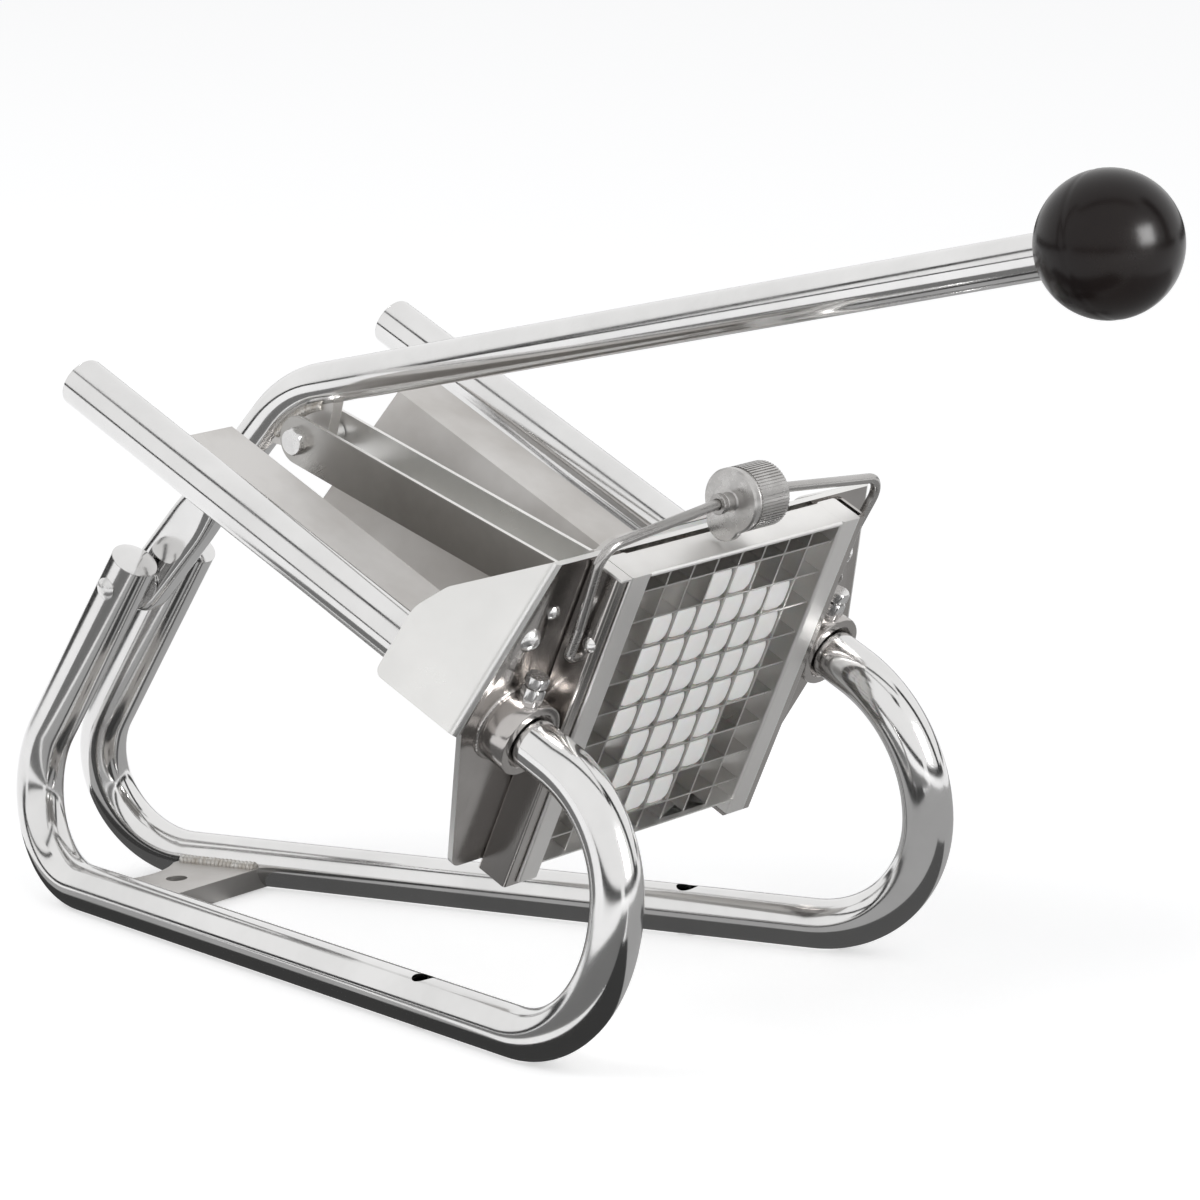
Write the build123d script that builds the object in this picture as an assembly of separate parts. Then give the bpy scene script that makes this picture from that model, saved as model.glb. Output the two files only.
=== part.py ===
from build123d import *
from math import atan2, cos, degrees, hypot, radians, sin, tan
import os

# French fry cutter with a bent tube frame. Millimetres, +Z up, +X towards the cutting grid.
# The origin is on the bench, midway between the two fixing holes through the base rails.
# The guide frame (f, y, h) has its origin on the front face of the front plate, midway between
# the two guide tubes: f runs forward along the guides, y to the left, h square to both.

# ---------------------------------------------------------------- driving sizes: tube frame
TUBE_OD = 20.0            # frame tube, outside diameter
TUBE_WALL = 1.5           # frame tube, wall
GUIDE_SLOPE = 27.0        # guides fall forward by this many degrees
GUIDE_HALF = 89.0         # guide axis to the middle plane
GUIDE_CORNER_X = 113.0    # where the guide axes would meet the front legs
GUIDE_CORNER_Z = 100.5
GUIDE_LENGTH = 305.0      # from that corner back to the guide's end
FOOT_CORNER_X = 110.0     # where the front legs would meet the base rails
FOOT_HALF = 100.5
LOOP_RADIUS = 55.0        # both bends of the front loop
UPRIGHT_HALF = 17.0       # upright axis to the middle plane
UPRIGHT_SLOPE = 54.0      # uprights rise forward by this many degrees
UPRIGHT_LENGTH = 173.0    # from the heel corner to the upright's end
HEEL_RADIUS = 40.0
FIXING_HOLE = 9.0         # base fixing holes, diameter
PLUG_CROWN = 3.0          # domed height of the tube end plugs
PLUG_DEPTH = 8.0          # how far a plug goes into its tube
SHEET_EDGE = 0.9          # outside radius of a folded sheet's edge, as a share of its thickness

# ---------------------------------------------------------------- driving sizes: cross plate
CROSS_REAR_X = -236.0     # back edge of the cross plate
CROSS_FRONT_X = -197.0    # front edge of the cross plate
CROSS_TOP_Z = 10.0        # top face of the cross plate
CROSS_SHEET = 4.0
CROSS_HOLE_X = -215.5
CROSS_LIP = 5.0           # depth of the turned-down front edge below the plate
CROSS_SCOOP = 30.0        # radius of the hollow in the back edge
CROSS_SCOOP_DEPTH = 6.0

# ---------------------------------------------------------------- driving sizes: front plate
PLATE_SETBACK = 62.0      # plate's front face behind the guide corner, along the guides
PLATE_SHEET = 2.5
PLATE_TOP = 69.5
PLATE_SHOULDER_HALF = 93.0
PLATE_ELBOW_HALF = 118.0  # widest point, at the lower end of the wing
PLATE_WAIST_HALF = 113.5  # just below the wing
PLATE_FOOT_HALF = 89.5
PLATE_FOOT = 67.0         # bottom edge, below the guide axes
PLATE_CORNER_RADIUS = 6.0
PLATE_BEND = 3.5          # outside radius of the bend into a wing
WINDOW_HALF = 54.0        # opening for the food
WINDOW_TOP = 60.0
WINDOW_FOOT = 58.0
WING_LENGTH = 43.0        # how far the finger guards reach back
WING_CUT = 31.0           # length of the sloping cut at a wing's top
WING_STEP = 8.0           # how far the cut's lower corner is ahead of the wing's rear edge
WING_RADIUS = 14.0
WING_FOOT_RADIUS = 3.8

# ---------------------------------------------------------------- driving sizes: collars
COLLAR_OD = 30.0
COLLAR_LENGTH = 13.5
COLLAR_RECESS_OD = 22.5
COLLAR_RECESS_DEPTH = 2.5
SET_BOLT = 5.0            # set bolt, shank diameter
SET_BOLT_AT = 6.5         # set bolt ahead of the plate
SMALL_FLATS = 8.0         # M5 hexagons, across flats
HEX_FLATS = 10.0          # M6 hexagons, across flats
HEX_HEAD = 4.0
HEX_NUT = 5.0
BOLT_GAP = 1.0            # under the head of a set bolt that is screwed home
PLATE_STUD = 5.0          # plate and tray screws, shank diameter
BUTTON_HEIGHT = 3.0       # domed heads of the plate screws
PLATE_STUD_Y = 92.5
PLATE_STUD_H = 37.0
PLATE_RIVET_Y = 84.0
PLATE_RIVET_H = 47.0
RIVET_HEAD = 6.0          # diameter
RIVET_HEIGHT = 1.5

# ---------------------------------------------------------------- driving sizes: grid block
BLOCK_HALF = 67.5
BLOCK_TOP = 69.2          # top of the block above the guide plane
BLOCK_FOOT = 69.0         # foot of its side bars below the guide plane
BLOCK_REAR = 1.5          # rear face, on the holder's base flanges
BLOCK_DEPTH = 14.5
SIDE_BAR_WIDTH = 11.0
BAR_SHEET = 1.5
CELL = 14.0               # pitch of the cutting grid, both ways
CELLS_WIDE = 8
CROSS_BLADE_COUNT = 9
GRID_CENTRE_H = 3.2       # middle cross blade above the guide plane
BLADE_SHEET = 0.8
BLADE_DEPTH = 10.8
BLADE_FRONT_GAP = 2.1     # blade fronts behind the block's front face
BLADE_BEVEL = 2.0         # length of the ground rear edge
BLADE_EDGE = 0.2          # thickness left at the cutting edge
BLADE_FIT = 0.1           # clearance in the crossing slots
TENON = 0.8               # depth of the blades' end tenons in the bars
BOTTOM_BAR_H = 62.8       # underside of the bottom bar below the guide plane
BAR_BEND = 1.2            # outside radius of the bars' edges

# ---------------------------------------------------------------- driving sizes: block holder
HOLDER_OUT = 73.5
HOLDER_SHEET = 1.5
HOLDER_DEPTH = 14.5
HOLDER_TOP = 68.0
HOLDER_SHELF = 1.5        # thickness of the foot shelf under the block
HOLDER_BASE_IN = 56.5     # inner edge of the base flange
HOLDER_LIP_IN = 68.0      # inner edge of the front lip
HOLDER_CLEAR = 0.2        # block's foot above the shelf

# ---------------------------------------------------------------- driving sizes: bail
WIRE = 4.0
BAIL_PIVOT_F = 8.0
BAIL_PIVOT_H = 31.0
BAIL_CORNER_HALF = {"left": 85.5, "right": 80.5}
BAIL_CORNER_H = 79.5
BAIL_CROWN_H = 87.0
BAIL_BEND = 9.0
BAIL_CROWN_BEND = 27.0
BAIL_CROWN_FLAT = 1.6     # straight wire beyond the stop beside the cam
BAIL_EYE_BEND = 2.2       # centre line radius where the legs turn into the holders
BAIL_END = 2.4            # how far the wire's ends pass the holders' walls
BAIL_KNEE_H = 44.0        # above here the legs spread
WIRE_CLEAR = 0.06         # radial running clearance of every pivot
KNOB_OD = 25.0
KNOB_WIDTH = 18.0
KNOB_RIDGES = 36
KNOB_GROOVE = 0.85        # side of the square groove between two ridges
KNOB_CHAMFER = 1.2
CAM_RADIUS = 8.0
CAM_GAP = 1.2             # cam to block top, so that the bail swings over the block's edge
CAM_WIDTH = 8.0
CAM_HUB = 11.2            # diameter of the cam's hub round the wire
WIRE_STOP_OD = 8.0
WIRE_STOP_WIDTH = 2.4
STOP_STUD_F = 12.0
STOP_STUD_H = 38.5
STOP_STUD = 6.0
STOP_STUD_RISE = 1.2

# ---------------------------------------------------------------- driving sizes: lever
PIVOT_UP = 159.6          # lever pivot up the uprights from the heel corner
PIVOT_PIN = 8.0
PIN_CROWN = 1.6           # height of the pin's domed ends
LEVER_OD = 17.0
LEVER_WALL = 2.0
LEVER_LEG = 123.0         # pivot to the bend's corner
LEVER_LEG_SLOPE = 44.5    # leg rises forward at this angle at rest
LEVER_ARM = 408.0         # bend's corner to the ball's centre
LEVER_ARM_SLOPE = 11.35
LEVER_RADIUS = 60.0
LEVER_FLAT = 12.0         # thickness of the flattened eye
LEVER_EYE = 21.0          # height of the flattened eye
LEVER_FLAT_LENGTH = 34.0  # flat from the pivot to where it starts to round out
LEVER_BLEND = 36.0        # length over which it rounds out
LEVER_TAIL = 5.0          # the flat eye's rounded end is centred this far below the pivot
PIVOT_WASHER = 0.8
PIVOT_WASHER_OD = 18.0
BALL_OD = 53.0
BALL_SOCKET = 13.0        # depth of the tube's seat in the ball
BALL_SEAT_FLAT = 24.5     # ball's flat face to its centre
INSERT_OD = 10.0

# ---------------------------------------------------------------- driving sizes: link
LINK_PIN_REACH = 122.0    # lever pivot to link bolt
LINK_PIN_ANGLE = 33.9     # direction of the link bolt from the lever pivot
LINK_LENGTH = 163.0
LINK_OUT = 12.0           # outside of the link's walls to the middle plane
LINK_SHEET = 2.0
LINK_HEIGHT = 20.0
LINK_WEB_START = 15.0
LINK_BOLT = 6.0
LUG_SHEET = 6.0
LUG_SPAN = 26.0           # the lug meets the tube this far either side of the bend's corner
LUG_BUSH_OD = 12.0
SIDE_PLAY = 0.3           # gap beside every moving eye
YOKE_PIN = 8.0
YOKE_PIN_HEAD = 13.0
YOKE_PIN_HEAD_WIDTH = 2.5
CLIP_WIDTH = 2.0
YOKE_H = 12.5             # yoke pin above the guide plane at rest
YOKE_SETBACK = 11.69      # yoke pin behind the carriage's back plate at rest

# ---------------------------------------------------------------- driving sizes: carriage
BODY_FRONT = -4.5         # front face of the pusher body at rest
BODY_DEPTH = 12.0
STUD_TIP = 12.6           # studs reach this far forward at rest
STUD_SIDE = 12.4
STUD_ROWS = [2, 6, 6, 6, 6, 4, 4, 2]  # studs in each row, from the top
STUD_CHAMFER = 1.6
BODY_TOP = 59.0
BODY_HALF = 46.5
BACK_SHEET = 3.0
HOUSING_OD = 28.0
HOUSING_LENGTH = 36.0
BUSH_OD = 24.0
BUSH_FLANGE = 2.0
BUSH_LENGTH = 12.0
HOUSING_CLEAR = 2.0       # foremost bush flange behind the tray's tabs
SLIDE_CLEAR = 0.06
ARM_LOW = 3.0             # arms clear the tray's flanges by this height
ARM_HIGH = 26.0
CHEEK_SHEET = 3.0
CHEEK_MARGIN = 4.5        # metal left round a clearance slot
SLOT_HALF = 20.0          # half height of the clearance slots, centred on the pin at rest
SLOT_BEHIND = 7.4         # slot's rear edge behind the pin's centre at rest
SLOT_AHEAD = 5.1          # slot's front edge ahead of it
BODY_SCREW = 5.0
BODY_SCREW_HEAD = 9.0
BODY_SCREW_HEAD_HEIGHT = 3.0
BODY_SCREW_END = 2.5      # pusher left in front of a screw's tip

# ---------------------------------------------------------------- driving sizes: feed tray
TRAY_SHEET = 1.5
TRAY_HALF = 48.0          # inside half width at the flanges
TRAY_WALL_SLOPE = 28.0    # walls lean from the vertical by this many degrees
TRAY_DEPTH = 56.0
TRAY_BEND = 12.0          # inside radius at the bottom
TRAY_FLANGE = 72.0        # outer edge of the flanges
TRAY_REAR = 198.0         # rear end behind the plate's front face
TRAY_CLEAR = 1.0          # pusher body to tray walls
TAB_MARGIN = 6.0          # metal left round a tab's screw

# ---------------------------------------------------------------- frames worked out from the sizes
SIDES = {"left": 1, "right": -1}
TUBE_R = TUBE_OD / 2
FORWARD = Vector(cos(radians(GUIDE_SLOPE)), 0, -sin(radians(GUIDE_SLOPE)))
SQUARE_UP = Vector(sin(radians(GUIDE_SLOPE)), 0, cos(radians(GUIDE_SLOPE)))
PLATE_ORIGIN = Vector(GUIDE_CORNER_X, 0, GUIDE_CORNER_Z) - FORWARD * PLATE_SETBACK
GUIDE_FRAME = Plane(origin=PLATE_ORIGIN, x_dir=FORWARD, z_dir=SQUARE_UP)
UPRIGHT_DIR = Vector(cos(radians(UPRIGHT_SLOPE)), 0, sin(radians(UPRIGHT_SLOPE)))
PIN_DIR = Vector(cos(radians(LINK_PIN_ANGLE)), 0, sin(radians(LINK_PIN_ANGLE)))
BODY_REAR = BODY_FRONT - BODY_DEPTH
BACK_REAR = BODY_REAR - BACK_SHEET
YOKE_F = BACK_REAR - YOKE_SETBACK
YOKE = PLATE_ORIGIN + FORWARD * YOKE_F + SQUARE_UP * YOKE_H
# The uprights stand so far back that the link just reaches the yoke with the pusher at rest.
PIN_FROM_YOKE = Vector(0, 0, TUBE_R) + UPRIGHT_DIR * PIVOT_UP + PIN_DIR * LINK_PIN_REACH - YOKE
HEEL_CORNER_X = -PIN_FROM_YOKE.X - (LINK_LENGTH**2 - PIN_FROM_YOKE.Z**2)**0.5
HEEL = Vector(HEEL_CORNER_X, 0, TUBE_R)
PIVOT = HEEL + UPRIGHT_DIR * PIVOT_UP
LEG_DIR = Vector(cos(radians(LEVER_LEG_SLOPE)), 0, sin(radians(LEVER_LEG_SLOPE)))
ARM_DIR = Vector(cos(radians(LEVER_ARM_SLOPE)), 0, sin(radians(LEVER_ARM_SLOPE)))
ELBOW = PIVOT + LEG_DIR * LEVER_LEG
BALL = ELBOW + ARM_DIR * LEVER_ARM
LINK_PIN = PIVOT + PIN_DIR * LINK_PIN_REACH


def guide_coordinates(point):
    """Forward and square-up coordinates of a point in the middle plane."""
    offset = point - PLATE_ORIGIN
    return offset.dot(FORWARD), offset.dot(SQUARE_UP)


LINK_PIN_F, LINK_PIN_H = guide_coordinates(LINK_PIN)
LINK_TILT = degrees(atan2(YOKE_H - LINK_PIN_H, YOKE_F - LINK_PIN_F))
LINK_DIR = FORWARD * cos(radians(LINK_TILT)) + SQUARE_UP * sin(radians(LINK_TILT))
LINK_UP = SQUARE_UP * cos(radians(LINK_TILT)) - FORWARD * sin(radians(LINK_TILT))
LINK_FRAME = Plane(origin=LINK_PIN, x_dir=LINK_DIR, z_dir=LINK_UP)
BLOCK_FRONT = BLOCK_REAR + BLOCK_DEPTH
BLADE_FRONT = BLOCK_FRONT - BLADE_FRONT_GAP
BLADE_REAR = BLADE_FRONT - BLADE_DEPTH
CUTTING_BLADES = [CELL * (i - CELLS_WIDE / 2 + 1) for i in range(CELLS_WIDE - 1)]
CROSS_BLADES = [GRID_CENTRE_H + CELL * (i - (CROSS_BLADE_COUNT - 1) / 2) for i in range(CROSS_BLADE_COUNT)]


def in_guides(shape):
    """Moves a shape from guide frame coordinates (f, y, h) into place."""
    return GUIDE_FRAME * shape


def block(low_f, high_f, low_y, high_y, low_h, high_h):
    """Box between two corners."""
    size = Box(high_f - low_f, high_y - low_y, high_h - low_h, align=(Align.MIN,) * 3)
    return Pos(low_f, low_y, low_h) * size


def rod(start, end, radius):
    """Round bar between two points."""
    axis = Vector(*end) - Vector(*start)
    return extrude(Plane(origin=start, z_dir=axis) * Circle(radius), axis.length)


def ring(start, end, outer, inner):
    """Round tube between two points."""
    axis = Vector(*end) - Vector(*start)
    return extrude(Plane(origin=start, z_dir=axis) * (Circle(outer) - Circle(inner)), axis.length)


def hexagon(start, end, flats, hole=0.0):
    """Hexagonal bar between two points, with an optional round hole."""
    axis = Vector(*end) - Vector(*start)
    outline = RegularPolygon(flats / 2, 6, major_radius=False)
    if hole:
        outline -= Circle(hole)
    return extrude(Plane(origin=start, z_dir=axis) * outline, axis.length)


def plate_shape(points, radii, low_f, high_f):
    """Flat plate square to the guides: a y, h outline with rounded corners, between two f."""
    outline = Polygon(*points, align=None)
    for point, radius in radii.items():
        corner = min(outline.vertices(), key=lambda v: hypot(v.X - point[0], v.Y - point[1]))
        outline = fillet(corner, radius)
    face = Plane(origin=(low_f, 0, 0), x_dir=(0, 1, 0), z_dir=(1, 0, 0)) * outline
    return extrude(face, high_f - low_f, dir=(1, 0, 0))


def common(one, other):
    """What two shapes share, as one solid."""
    return max((one & other).solids(), key=lambda s: s.volume)


def dome(seat, out, radius, height):
    """Low spherical cap on a flat face, rising along a unit vector."""
    crown = (radius**2 + height**2) / (2 * height)
    half_way = radius / 2
    rise = height - crown + (crown**2 - half_way**2)**0.5
    arc = ThreePointArc((radius, 0), (half_way, rise), (0, height))
    profile = make_face([Line((0, 0), (radius, 0)), arc, Line((0, height), (0, 0))])
    cap = revolve(Plane.XZ * profile, Axis.Z)
    return Plane(origin=seat, z_dir=out) * cap


def mirrored(make):
    """A left and a right copy of what make(side) builds, as one group of solids."""
    return Compound(children=[s for side in SIDES.values() for s in make(side).solids()])


# ---------------------------------------------------------------- tube frame
def tube_path(side):
    """Centre line of one frame tube: guide, front loop, base rail, heel, upright."""
    corner = Vector(GUIDE_CORNER_X, side * GUIDE_HALF, GUIDE_CORNER_Z)
    heel = HEEL + Vector(0, side * UPRIGHT_HALF, 0)
    points = [corner - FORWARD * GUIDE_LENGTH, corner, (FOOT_CORNER_X, side * FOOT_HALF, TUBE_R),
              heel, heel + UPRIGHT_DIR * UPRIGHT_LENGTH]
    return FilletPolyline(*points, radius=[LOOP_RADIUS, LOOP_RADIUS, HEEL_RADIUS])


def rail_half(x):
    """Distance of a base rail's axis from the middle plane at a given x."""
    run = FOOT_CORNER_X - HEEL_CORNER_X
    return UPRIGHT_HALF + (FOOT_HALF - UPRIGHT_HALF) * (x - HEEL_CORNER_X) / run


def frame_tube(side):
    """One bent tube with its fixing hole and pivot hole."""
    path = tube_path(side)
    section = Plane(origin=path @ 0, z_dir=path % 0) * (Circle(TUBE_R) - Circle(TUBE_R - TUBE_WALL))
    tube = sweep(section, path)
    rail = (0, side * rail_half(0))
    tube -= rod((*rail, -1), (*rail, TUBE_OD + 1), FIXING_HOLE / 2)
    reach = UPRIGHT_HALF + TUBE_OD
    tube -= rod(PIVOT, PIVOT + Vector(0, side * reach, 0), PIVOT_PIN / 2)
    return tube


def end_plug(tip, outward):
    """Domed plug in a tube's end: a spigot inside the tube under a shallow crown."""
    spigot = rod(tip - outward * PLUG_DEPTH, tip, TUBE_R - TUBE_WALL)
    return spigot + dome(tip, outward, TUBE_R, PLUG_CROWN)


def guide_plug(side):
    tip = Vector(GUIDE_CORNER_X, side * GUIDE_HALF, GUIDE_CORNER_Z) - FORWARD * GUIDE_LENGTH
    return end_plug(tip, -FORWARD)


def upright_plug(side):
    tip = HEEL + Vector(0, side * UPRIGHT_HALF, 0) + UPRIGHT_DIR * UPRIGHT_LENGTH
    return end_plug(tip, UPRIGHT_DIR)


def cross_plate():
    """Plate between the base rails, with a scooped back edge and a turned-down front edge."""
    rear, front = rail_half(CROSS_REAR_X), rail_half(CROSS_FRONT_X)
    low = CROSS_TOP_Z - CROSS_SHEET
    outline = Polygon((CROSS_REAR_X, -rear), (CROSS_FRONT_X, -front), (CROSS_FRONT_X, front),
                      (CROSS_REAR_X, rear), align=None)
    outline -= Pos(CROSS_REAR_X - CROSS_SCOOP + CROSS_SCOOP_DEPTH, 0) * Circle(CROSS_SCOOP)
    outline -= Pos(CROSS_HOLE_X, 0) * Circle(FIXING_HOLE / 2)
    plate = extrude(Plane.XY.offset(low) * outline, CROSS_SHEET)
    lip_rear = CROSS_FRONT_X - CROSS_SHEET
    plate += block(lip_rear, CROSS_FRONT_X, -front, front, low - CROSS_LIP, low)
    for side in SIDES.values():
        foot = Vector(FOOT_CORNER_X, side * FOOT_HALF, TUBE_R)
        plate -= rod(foot, HEEL + Vector(0, side * UPRIGHT_HALF, 0), TUBE_R)
    return max(plate.solids(), key=lambda s: s.volume)


# ---------------------------------------------------------------- front plate and what it carries
def front_plate():
    """Plate square to the guides, with the food window, and a finger guard bent back each side."""
    half = [(PLATE_SHOULDER_HALF, PLATE_TOP), (PLATE_ELBOW_HALF, 0), (PLATE_WAIST_HALF, 0),
            (PLATE_FOOT_HALF, -PLATE_FOOT)]
    outline = half + [(-y, h) for y, h in reversed(half)]
    corners = {(side * PLATE_FOOT_HALF, -PLATE_FOOT): PLATE_CORNER_RADIUS for side in SIDES.values()}
    plate = plate_shape(outline, corners, -PLATE_SHEET, 0)
    window = [(-WINDOW_HALF, -WINDOW_FOOT), (WINDOW_HALF, -WINDOW_FOOT),
              (WINDOW_HALF, WINDOW_TOP), (-WINDOW_HALF, WINDOW_TOP)]
    plate -= plate_shape(window, {p: PLATE_CORNER_RADIUS for p in window}, -PLATE_SHEET, 0)
    for side in SIDES.values():
        y = side * PLATE_STUD_Y
        plate += wing(side)
        plate -= bend_corner(side)
        plate -= rod((-PLATE_SHEET, side * GUIDE_HALF, 0), (0, side * GUIDE_HALF, 0), TUBE_R)
        plate -= rod((-PLATE_SHEET, y, PLATE_STUD_H), (0, y, PLATE_STUD_H), PLATE_STUD / 2)
    return in_guides(plate)


def bend_line(side):
    """Lower end, direction, length and inward normal of a wing's bend."""
    low = Vector(0, side * PLATE_ELBOW_HALF, 0)
    run = Vector(0, side * PLATE_SHOULDER_HALF, PLATE_TOP) - low
    along = run.normalized()
    return low, along, run.length, Vector(1, 0, 0).cross(along) * side


def wing(side):
    """Finger guard: bent back along the plate's sloping edge, with its top corner cut away."""
    low, along, length, inward = bend_line(side)
    points = [(0, 0), (WING_LENGTH, 0), (WING_LENGTH, length - WING_CUT - WING_RADIUS),
              (WING_LENGTH - WING_STEP, length - WING_CUT), (PLATE_SHEET, length), (0, length)]
    outline = Polygon(*points, align=None)
    rounded = {points[1]: WING_FOOT_RADIUS, points[2]: WING_RADIUS, points[3]: WING_RADIUS}
    for point, radius in rounded.items():
        corner = min(outline.vertices(), key=lambda v: hypot(v.X - point[0], v.Y - point[1]))
        outline = fillet(corner, radius)
    sheet = Plane(origin=low, x_dir=(-1, 0, 0), z_dir=Vector(-1, 0, 0).cross(along))
    return extrude(sheet * outline, PLATE_SHEET, dir=inward)


def bend_corner(side):
    """What the bend's outside radius takes off the sharp corner."""
    low, along, length, inward = bend_line(side)
    across = Plane(origin=low - along * PLATE_BEND, x_dir=inward, z_dir=along)
    back = -1 if across.y_dir.X > 0 else 1
    corner = Pos(0, back * PLATE_BEND / 2) * Rectangle(PLATE_BEND * 2, PLATE_BEND)
    corner -= Pos(PLATE_BEND, back * PLATE_BEND) * Circle(PLATE_BEND)
    return extrude(across * corner, length + PLATE_BEND * 2)


def collar(side):
    """Clamping collar welded to the plate, recessed at its mouth, with a threaded hole on top."""
    y = side * GUIDE_HALF
    body = ring((0, y, 0), (COLLAR_LENGTH, y, 0), COLLAR_OD / 2, TUBE_R)
    body -= rod((COLLAR_LENGTH - COLLAR_RECESS_DEPTH, y, 0), (COLLAR_LENGTH, y, 0), COLLAR_RECESS_OD / 2)
    body -= rod((SET_BOLT_AT, y, 0), (SET_BOLT_AT, y, COLLAR_OD), SET_BOLT / 2)
    return in_guides(body)


def set_nut(side):
    """Hexagon nut welded on a collar around its threaded hole."""
    y = side * GUIDE_HALF
    high = COLLAR_OD / 2 + HEX_NUT
    nut = hexagon((SET_BOLT_AT, y, 0), (SET_BOLT_AT, y, high), SMALL_FLATS, SET_BOLT / 2)
    nut -= rod((0, y, 0), (COLLAR_LENGTH, y, 0), COLLAR_OD / 2)
    return in_guides(nut)


def set_bolt(side):
    """Hexagon bolt that bears on the guide tube."""
    y = side * GUIDE_HALF
    seat = COLLAR_OD / 2 + HEX_NUT + BOLT_GAP
    bolt = rod((SET_BOLT_AT, y, 0), (SET_BOLT_AT, y, seat), SET_BOLT / 2)
    bolt -= rod((0, y, 0), (COLLAR_LENGTH, y, 0), TUBE_R)
    bolt += hexagon((SET_BOLT_AT, y, seat), (SET_BOLT_AT, y, seat + HEX_HEAD), SMALL_FLATS)
    return in_guides(bolt)


def plate_screw(side):
    """Button screw through the plate with a nut behind it, which holds the tray's tab."""
    y, h = side * PLATE_STUD_Y, PLATE_STUD_H
    tab_rear = -PLATE_SHEET - TRAY_SHEET
    screw = rod((tab_rear - HEX_NUT, y, h), (0, y, h), PLATE_STUD / 2)
    return in_guides(screw + dome((0, y, h), (1, 0, 0), PLATE_STUD, BUTTON_HEIGHT))


def plate_nut(side):
    y, h = side * PLATE_STUD_Y, PLATE_STUD_H
    tab_rear = -PLATE_SHEET - TRAY_SHEET
    return in_guides(hexagon((tab_rear - HEX_NUT, y, h), (tab_rear, y, h), SMALL_FLATS, PLATE_STUD / 2))


def plate_rivet(side):
    """Small rivet head beside the screw."""
    seat = (0, side * PLATE_RIVET_Y, PLATE_RIVET_H)
    return in_guides(dome(seat, (1, 0, 0), RIVET_HEAD / 2, RIVET_HEIGHT))


def block_holder(side):
    """Formed channel that holds the block's side: base flange, wall, front lip and foot shelf."""
    high_f = HOLDER_DEPTH
    foot = BLOCK_FOOT + HOLDER_CLEAR
    wall_in = HOLDER_OUT - HOLDER_SHEET
    spans = [(0, HOLDER_SHEET, HOLDER_BASE_IN, HOLDER_OUT, -foot - HOLDER_SHELF, HOLDER_TOP),
             (0, high_f, wall_in, HOLDER_OUT, -foot - HOLDER_SHELF, HOLDER_TOP),
             (high_f - HOLDER_SHEET, high_f, HOLDER_LIP_IN, HOLDER_OUT, -foot - HOLDER_SHELF, HOLDER_TOP),
             (0, high_f, HOLDER_BASE_IN, HOLDER_OUT, -foot - HOLDER_SHELF, -foot)]
    channel = None
    for f0, f1, y0, y1, h0, h1 in spans:
        piece = block(f0, f1, min(side * y0, side * y1), max(side * y0, side * y1), h0, h1)
        channel = piece if channel is None else channel + piece
    channel = fillet(channel.edges().filter_by(Axis.Z).group_by(Axis.Y)[0 if side < 0 else -1],
                     HOLDER_SHEET * SHEET_EDGE)
    eye = ((BAIL_PIVOT_F, side * wall_in, BAIL_PIVOT_H), (BAIL_PIVOT_F, side * HOLDER_OUT, BAIL_PIVOT_H))
    return in_guides(channel - rod(*eye, WIRE / 2 + WIRE_CLEAR))


def stop_stud(side):
    """Bright stud on the holder's wall, which the bail's leg passes."""
    seat = (STOP_STUD_F, side * HOLDER_OUT, STOP_STUD_H)
    return in_guides(dome(seat, (0, side, 0), STOP_STUD / 2, STOP_STUD_RISE))


# ---------------------------------------------------------------- grid block
def side_bar(side):
    """Channel bar, open outwards, with rounded edges and slots for the cross blades' tenons."""
    outer, inner = BLOCK_HALF, BLOCK_HALF - SIDE_BAR_WIDTH
    low_y, high_y = sorted((side * inner, side * outer))
    bar = block(BLOCK_REAR, BLOCK_FRONT, low_y, high_y, -BLOCK_FOOT, BLOCK_TOP)
    bar = fillet(bar.edges().filter_by(Axis.Z), min(BAR_BEND, BAR_SHEET * SHEET_EDGE))
    hollow_low, hollow_high = sorted((side * (inner + BAR_SHEET), side * (outer + 1)))
    bar -= block(BLOCK_REAR + BAR_SHEET, BLOCK_FRONT - BAR_SHEET, hollow_low, hollow_high,
                 -BLOCK_FOOT - 1, BLOCK_TOP - BAR_SHEET)
    slot_low, slot_high = sorted((side * inner, side * (inner + TENON)))
    for h in CROSS_BLADES:
        bar -= block(BLADE_REAR + BLADE_BEVEL, BLADE_FRONT, slot_low, slot_high,
                     h - BLADE_SHEET / 2, h + BLADE_SHEET / 2)
    return in_guides(bar)


def end_bar(low_h, blades_above):
    """Flat bar between the side bars, with slots for the cutting blades' tenons."""
    inner = BLOCK_HALF - SIDE_BAR_WIDTH
    bar = block(BLOCK_REAR, BLOCK_FRONT, -inner, inner, low_h, low_h + BAR_SHEET)
    long_edges = bar.edges().filter_by(Axis.Y).group_by(Axis.Z)[0 if blades_above else -1]
    bar = fillet(long_edges, min(BAR_BEND, BAR_SHEET * SHEET_EDGE))
    slot_h = low_h + BAR_SHEET - TENON if blades_above else low_h
    for y in CUTTING_BLADES:
        bar -= block(BLADE_REAR + BLADE_BEVEL, BLADE_FRONT, y - BLADE_SHEET / 2, y + BLADE_SHEET / 2,
                     slot_h, slot_h + TENON)
    return in_guides(bar)


def blade_section():
    """Section of a blade: square front edge at zero, ground to a thin edge at its rear."""
    half, edge = BLADE_SHEET / 2, BLADE_EDGE / 2
    return Polygon((BLADE_FRONT, -half), (BLADE_FRONT, half), (BLADE_REAR + BLADE_BEVEL, half),
                   (BLADE_REAR, edge), (BLADE_REAR, -edge), (BLADE_REAR + BLADE_BEVEL, -half), align=None)


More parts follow.
